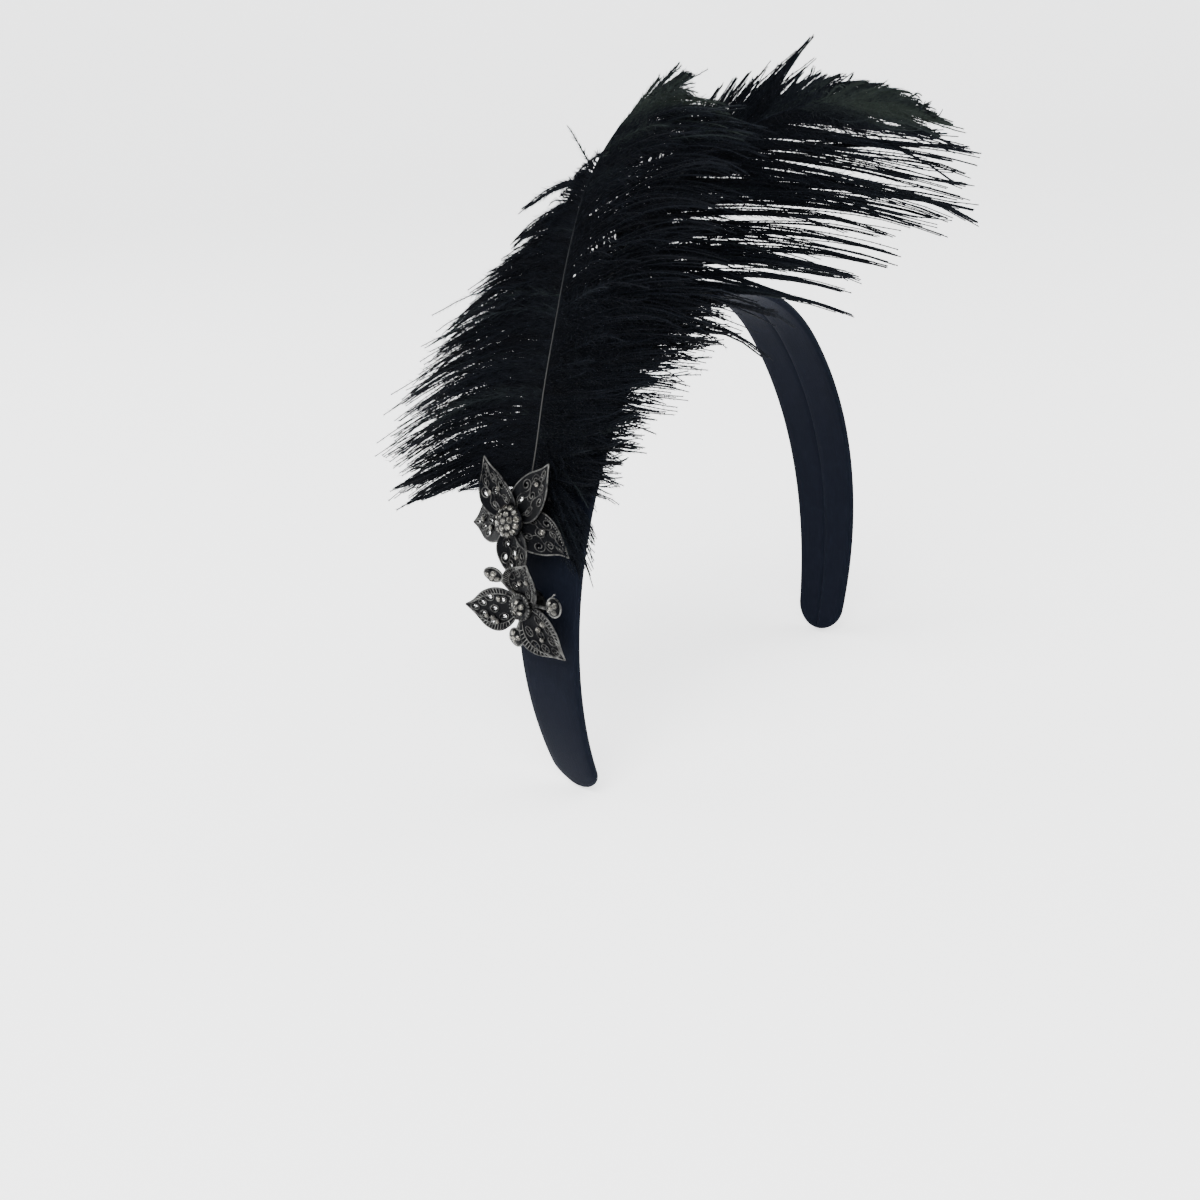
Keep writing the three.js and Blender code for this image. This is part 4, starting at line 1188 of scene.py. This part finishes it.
def hub_shape(radius):
    """The hub, post and pad behind a flower: one turned body with a beaded edge, about x."""
    profile = (
        (3.2, -0.5), (4.0, -0.45), (4.0, 2.0), (3.7, 2.1), (2.0, 2.3), (2.0, 4.9), (radius - 0.5, 5.1),
        (radius - 0.1, 5.3), (radius, 5.8), (radius, 7.2), (radius - 0.15, 7.6), (radius - 0.5, 7.9),
        (1.0, 7.95),
    )
    return joined([turned(profile, 32, 0.3), balls(circle(24, radius * 0.97, 7.75), 0.42, 0.7)])


def petal_stones(petals, table, seed):
    """The stones in the petals, and the collars and cups that hold them: (stones, metal)."""
    rng = np.random.default_rng(seed)
    gems, parts = [], []
    for number, share, side, radius in table:
        petal = petals[number]
        pose = petal.frame.copy()
        pose[:3, 3] = petal.spot(np.array(share), side, PETAL_STONE_LIFT)
        narrow, wide = 0.3 * radius, 0.95 * radius
        cup = turned(((narrow, -1.1), (wide, -0.9), (wide, -0.35), (narrow, -0.3)), 12, 0.2)
        gems.append(stone_shape(radius, rng.uniform(0, 1)).moved(pose))
        parts += [setting_shape(radius).moved(pose), cup.moved(pose)]
    return gems, parts


def floret_metal(floret, stub):
    """A floret's stem and cup, and the place of its stones: a bent wire from the hub to a round-rimmed cup.

    With a stub, a short end of wire with a grain on it stands off the cup.
    """
    angle, reach, lift = floret
    pose = leaf_frame(math.radians(angle), math.radians(lift), FLORET_START, FLOWER_HEIGHT)
    share = np.linspace(0, 1, 20)
    sway = 0.3 * np.sin(2 * np.pi * share)
    stem = np.stack([0.35 * np.sin(np.pi * share) - 0.2, reach * share - 0.4, sway], axis=-1)
    profile = (
        (0.5, -0.6), (2.4, -0.5), (FLORET_RADIUS - 0.15, -0.15), (FLORET_RADIUS, 0.3), (2.75, 0.42),
        (0.5, 0.3),
    )
    rim = wire(circle(32, 2.95, 0.4), OUT, 0.27, 7, 0.85, closed=True)
    cup = joined([turned(profile, 28, 0.3), rim])
    shapes = [wire(stem, OUT, 0.55, 8, 0.55), cup.moved(shifted(0, reach))]
    if stub:
        share = np.linspace(0, 1, 8)
        aside = 2.8 + 1.8 * share - 0.5 * share**2
        line = np.stack([0.3 + 0.8 * share, reach - 0.6 + 2.4 * share, aside], axis=-1)
        shapes += [wire(line, OUT, 0.2, 7, 0.7), balls(line[-1:], 0.34, 0.95)]
    return joined(shapes).moved(pose), pose @ shifted(FLORET_SEAT, reach)


def flower_shapes(flower, settings):
    """The stones and the metal of a flower without its florets, in its seat: (stones, metal)."""
    plate, rim = settings.plate / MM, settings.rim / MM
    scroll, granule = settings.scroll / MM, settings.granule / MM
    petals = [Petal(row, flower["hook"]) for row in flower["petals"]]
    gems, parts = petal_stones(petals, flower["stones"], flower["seed"])
    parts.append(hub_shape(flower["hub"]))
    for petal in petals:
        parts += [plate_shape(petal, plate), rim_shape(petal, rim)]
        parts += FILIGREE[flower["filigree"]](petal, scroll, plate / 2 + WIRE_LIFT)
    for number, side, low, high in flower["grains"]:
        parts.append(grain_shape(petals[number], granule, plate / 2 + GRAIN_LIFT, side, low, high))
    dome, bed = cluster_shapes(flower["cluster"], flower["seed"] + 1)
    parts.append(bed.moved(shifted(STONE_SEAT)))
    gems.append(dome.moved(shifted(STONE_SEAT)))
    return gems, parts


def antique_metal(settings):
    """Antiqued metal: dark in the recesses, worn bright on wires and grains, with fine pits and smears. The
    bright wires and grains are partly real wear and partly painted highlights, and where both noises peak they
    give painted glints.
    """
    finish = Finish("antique_metal")
    bright = finish.note_parts()["X"]
    place = finish.place()
    wear_and_glints = finish.noise(place, 900.0, 3.0)
    stain_and_glints = finish.noise(place, 260.0, 2.0)
    # Painted glints: where both noises peak, the tone jumps to the bright colour as a painted highlight; lower
    # down they give real wear and smears.
    tone = (bright * (wear_and_glints * 1.4 + stain_and_glints * 1.4 - 0.75) - 0.12).held()
    finish.shade(
        Base_Color=finish.mix(tone, tint(settings.dark), tint(settings.bright)),
        Metallic=1.0,
        Roughness=0.5 - 0.2 * tone + 0.12 * stain_and_glints,
        Normal=finish.bump(wear_and_glints, 0.0001, 0.4),
    )
    return finish.material


def smoky_stones(settings):
    """Foiled smoky stones: each has its own depth of tint, with a clear hard gloss on every facet, and painted
    glints: a few small patches of the facets painted pale.
    """
    finish = Finish("smoky_stones")
    own = finish.note_parts()["X"]
    place = finish.place()
    cloud = finish.noise(place, 700.0, 1.0)
    # Painted glints: a few random cells on the facets are painted pale as sparkle.
    cells = finish.node("ShaderNodeTexVoronoi", {}, {"Vector": place, "Scale": 1700.0})["Color"]
    painted_glint = finish.node("ShaderNodeSeparateColor", {}, {"Color": cells})["Red"]
    tone = (own * 0.1 + painted_glint ** 7.0 + cloud * 0.12 - 0.06).held()
    finish.shade(
        Base_Color=finish.mix(tone, tint(settings.stone, 0.05), tint(settings.stone, 0.8)),
        Metallic=0.8,
        Roughness=0.06 + 0.08 * cloud,
        Coat_Weight=0.3,
        Coat_Roughness=0.03,
    )
    return finish.material


def floor_paper(settings):
    """The floor's paper: nearly white, with a faint grain, and lit a little from within."""
    finish = Finish("floor_paper")
    grain = finish.noise(finish.place(), 30.0, 2.0)
    paper = finish.mix(grain, tint(settings.floor), tint(settings.floor, 0.985))
    finish.shade(Base_Color=paper, Roughness=0.9, Specular_IOR_Level=0.1, Emission_Color=paper,
                 Emission_Strength=1.0)
    return finish.material


def floor_shape(rows, level):
    """The floor: a disc whose border curves up into a wall, as a profile carried round the vertical."""
    flat = np.linspace(0.02, FLOOR_FLAT, rows // 2)
    lift = np.linspace(0, np.pi / 2, rows // 2)[1:]
    radius = np.concatenate([flat, FLOOR_FLAT + FLOOR_BEND * np.sin(lift), [FLOOR_FLAT + FLOOR_BEND]])
    height = np.concatenate([np.zeros(len(flat)), FLOOR_BEND * (1 - np.cos(lift)), [WALL_TOP]])
    turn = 2 * np.pi * np.arange(FLOOR_SIDES) / FLOOR_SIDES
    across, back = radius[:, None] * np.cos(turn), radius[:, None] * np.sin(turn)
    points = np.stack(np.broadcast_arrays(across, back, level + height[:, None]), axis=-1)
    index = grid(len(radius), FLOOR_SIDES)
    return Shape(points, walls(index)[:, ::-1], fans(index[0]))


def aimed(right, back, place):
    """The pose of a light or a camera from its right, the way back from what it looks at, and its place."""
    pose = np.eye(4)
    pose[:3] = np.stack([right, np.cross(back, right), back, place], axis=-1)
    return Matrix(pose.tolist())


def the_band():
    """The band's curve from its settings."""
    return Band(bpy.context.scene.headband_band)


class HEADBAND_OT_band(Operator):
    """Wrap the band in satin"""

    bl_idname = "headband.band"
    bl_label = "Satin band"

    def execute(self, context):
        material = satin(context.scene.headband_band)
        make_piece("satin_band", band_shape(the_band()), material, 50, "band")
        return {"FINISHED"}


class HEADBAND_OT_plumes(Operator):
    """Grow the shafts and barbs of both plumes"""

    bl_idname = "headband.plumes"
    bl_label = "Plumes"

    def execute(self, context):
        settings = context.scene.headband_plume
        material = feather(settings)
        seat = the_band().seat(PLUME_SEAT)
        for table in (PLUME_FRONT, PLUME_REAR):
            node = table["node"]
            make_piece(f"{node}_shaft", shaft_shape(Plume(table, seat)), material, 60, node)
        for fall in FALLS:
            plume = Plume(fall["plume"], seat)
            barbs = Barbs(plume, fall)
            filaments = filament_shape(barbs, settings.filament_radius / MM)
            fluff = barbule_shape(barbs, settings.barbule_length / MM, settings.barbule_radius / MM)
            shape = joined([filaments, fluff]).moved(seat)
            make_piece(fall["name"], shape, material, 60, plume.table["node"])
        return {"FINISHED"}


class HEADBAND_OT_flowers(Operator):
    """Make the filigree of both flowers and set their stones"""

    bl_idname = "headband.flowers"
    bl_label = "Flowers"

    def execute(self, context):
        settings = context.scene.headband_flower
        metal, glass = antique_metal(settings), smoky_stones(settings)
        for name, flower in FLOWERS.items():
            seat = the_band().seat(flower["seat"])
            gems, parts = flower_shapes(flower, settings)
            for number, floret in enumerate(flower["florets"]):
                stem, place = floret_metal(floret, number == STUB_FLORET)
                dome, bed = cluster_shapes(FLORET_CLUSTER, FLORET_SEED + number)
                parts += [stem, bed.moved(place)]
                own = f"floret_{number + 1}"
                shape = dome.moved(place).moved(seat)
                make_piece(f"{own}_cut_stones", shape, glass, 0, f"{own}_stones")
            make_piece(f"{name}_filigree", joined(parts).moved(seat), metal, 40, name)
            shape = joined(gems).moved(seat)
            make_piece(f"{name}_cut_stones", shape, glass, 0, f"{name}_stones")
        return {"FINISHED"}


class HEADBAND_OT_stage(Operator):
    """Set the floor, the lights and the camera"""

    bl_idname = "headband.stage"
    bl_label = "Stage"

    def execute(self, context):
        settings = context.scene.headband_stage
        link = context.scene.collection.objects.link
        shape = floor_shape(settings.floor_rows, CAD_BOX[0].z - FLOOR_GAP)
        mesh = bpy.data.meshes.new("floor")
        mesh.from_pydata(shape.points.tolist(), [], shape.quads.tolist() + shape.triangles.tolist())
        mesh.shade_smooth()
        mesh.materials.append(floor_paper(settings))
        floor = bpy.data.objects.new("floor", mesh)
        link(floor)

        for name, place, power, size in LIGHTS:
            lamp = bpy.data.lights.new(name, "AREA")
            lamp.energy = getattr(settings, power)
            lamp.size = size
            light = bpy.data.objects.new(name, lamp)
            back = unit(np.array(place) - np.array(LIT_MIDDLE))
            light.matrix_world = aimed(unit(np.cross((0, 0, 1.0), back)), back, np.array(place))
            link(light)

        world = bpy.data.worlds.new("studio")
        world.use_nodes = True
        sky = world.node_tree.nodes["Background"].inputs
        sky["Color"].default_value = SKY_COLOUR
        sky["Strength"].default_value = settings.sky
        context.scene.world = world

        lens = bpy.data.cameras.new("camera")
        lens.lens = settings.lens
        lens.sensor_width = 36.0
        lens.clip_start, lens.clip_end = 0.01, 20.0
        camera = bpy.data.objects.new("camera", lens)
        back = unit(np.array(settings.camera_back))
        right = np.array(settings.camera_right)
        right = unit(right - right @ back * back)
        camera.matrix_world = aimed(right, back, np.array(settings.camera_at))
        link(camera)
        context.scene.camera = camera
        return {"FINISHED"}


class HEADBAND_PT_panel(Panel):
    """The headband's pieces and settings"""

    bl_label = "Feather headband"
    bl_idname = "HEADBAND_PT_panel"
    bl_space_type = "VIEW_3D"
    bl_region_type = "UI"
    bl_category = "Headband"

    def draw(self, context):
        for operator in OPERATORS:
            self.layout.operator(operator.bl_idname)
        for name in SETTINGS:
            group = getattr(context.scene, name)
            box = self.layout.box()
            for field in group.bl_rna.properties.keys():
                if field not in ("rna_type", "name"):
                    box.prop(group, field)


SETTINGS = {
    "headband_band": BandSettings,
    "headband_plume": PlumeSettings,
    "headband_flower": FlowerSettings,
    "headband_stage": StageSettings,
}
OPERATORS = (HEADBAND_OT_band, HEADBAND_OT_plumes, HEADBAND_OT_flowers, HEADBAND_OT_stage)
CLASSES = (*SETTINGS.values(), *OPERATORS, HEADBAND_PT_panel)


def register():
    """Adds the classes and hangs the settings on the scene."""
    for made in CLASSES:
        bpy.utils.register_class(made)
    for name, group in SETTINGS.items():
        setattr(bpy.types.Scene, name, PointerProperty(type=group))


def unregister():
    """Takes the settings and the classes away again."""
    for name in SETTINGS:
        delattr(bpy.types.Scene, name)
    for made in reversed(CLASSES):
        bpy.utils.unregister_class(made)


def main():
    """Builds the pieces in order."""
    register()
    bpy.ops.headband.band()
    bpy.ops.headband.plumes()
    bpy.ops.headband.flowers()
    bpy.ops.headband.stage()


if __name__ == "__main__":
    main()
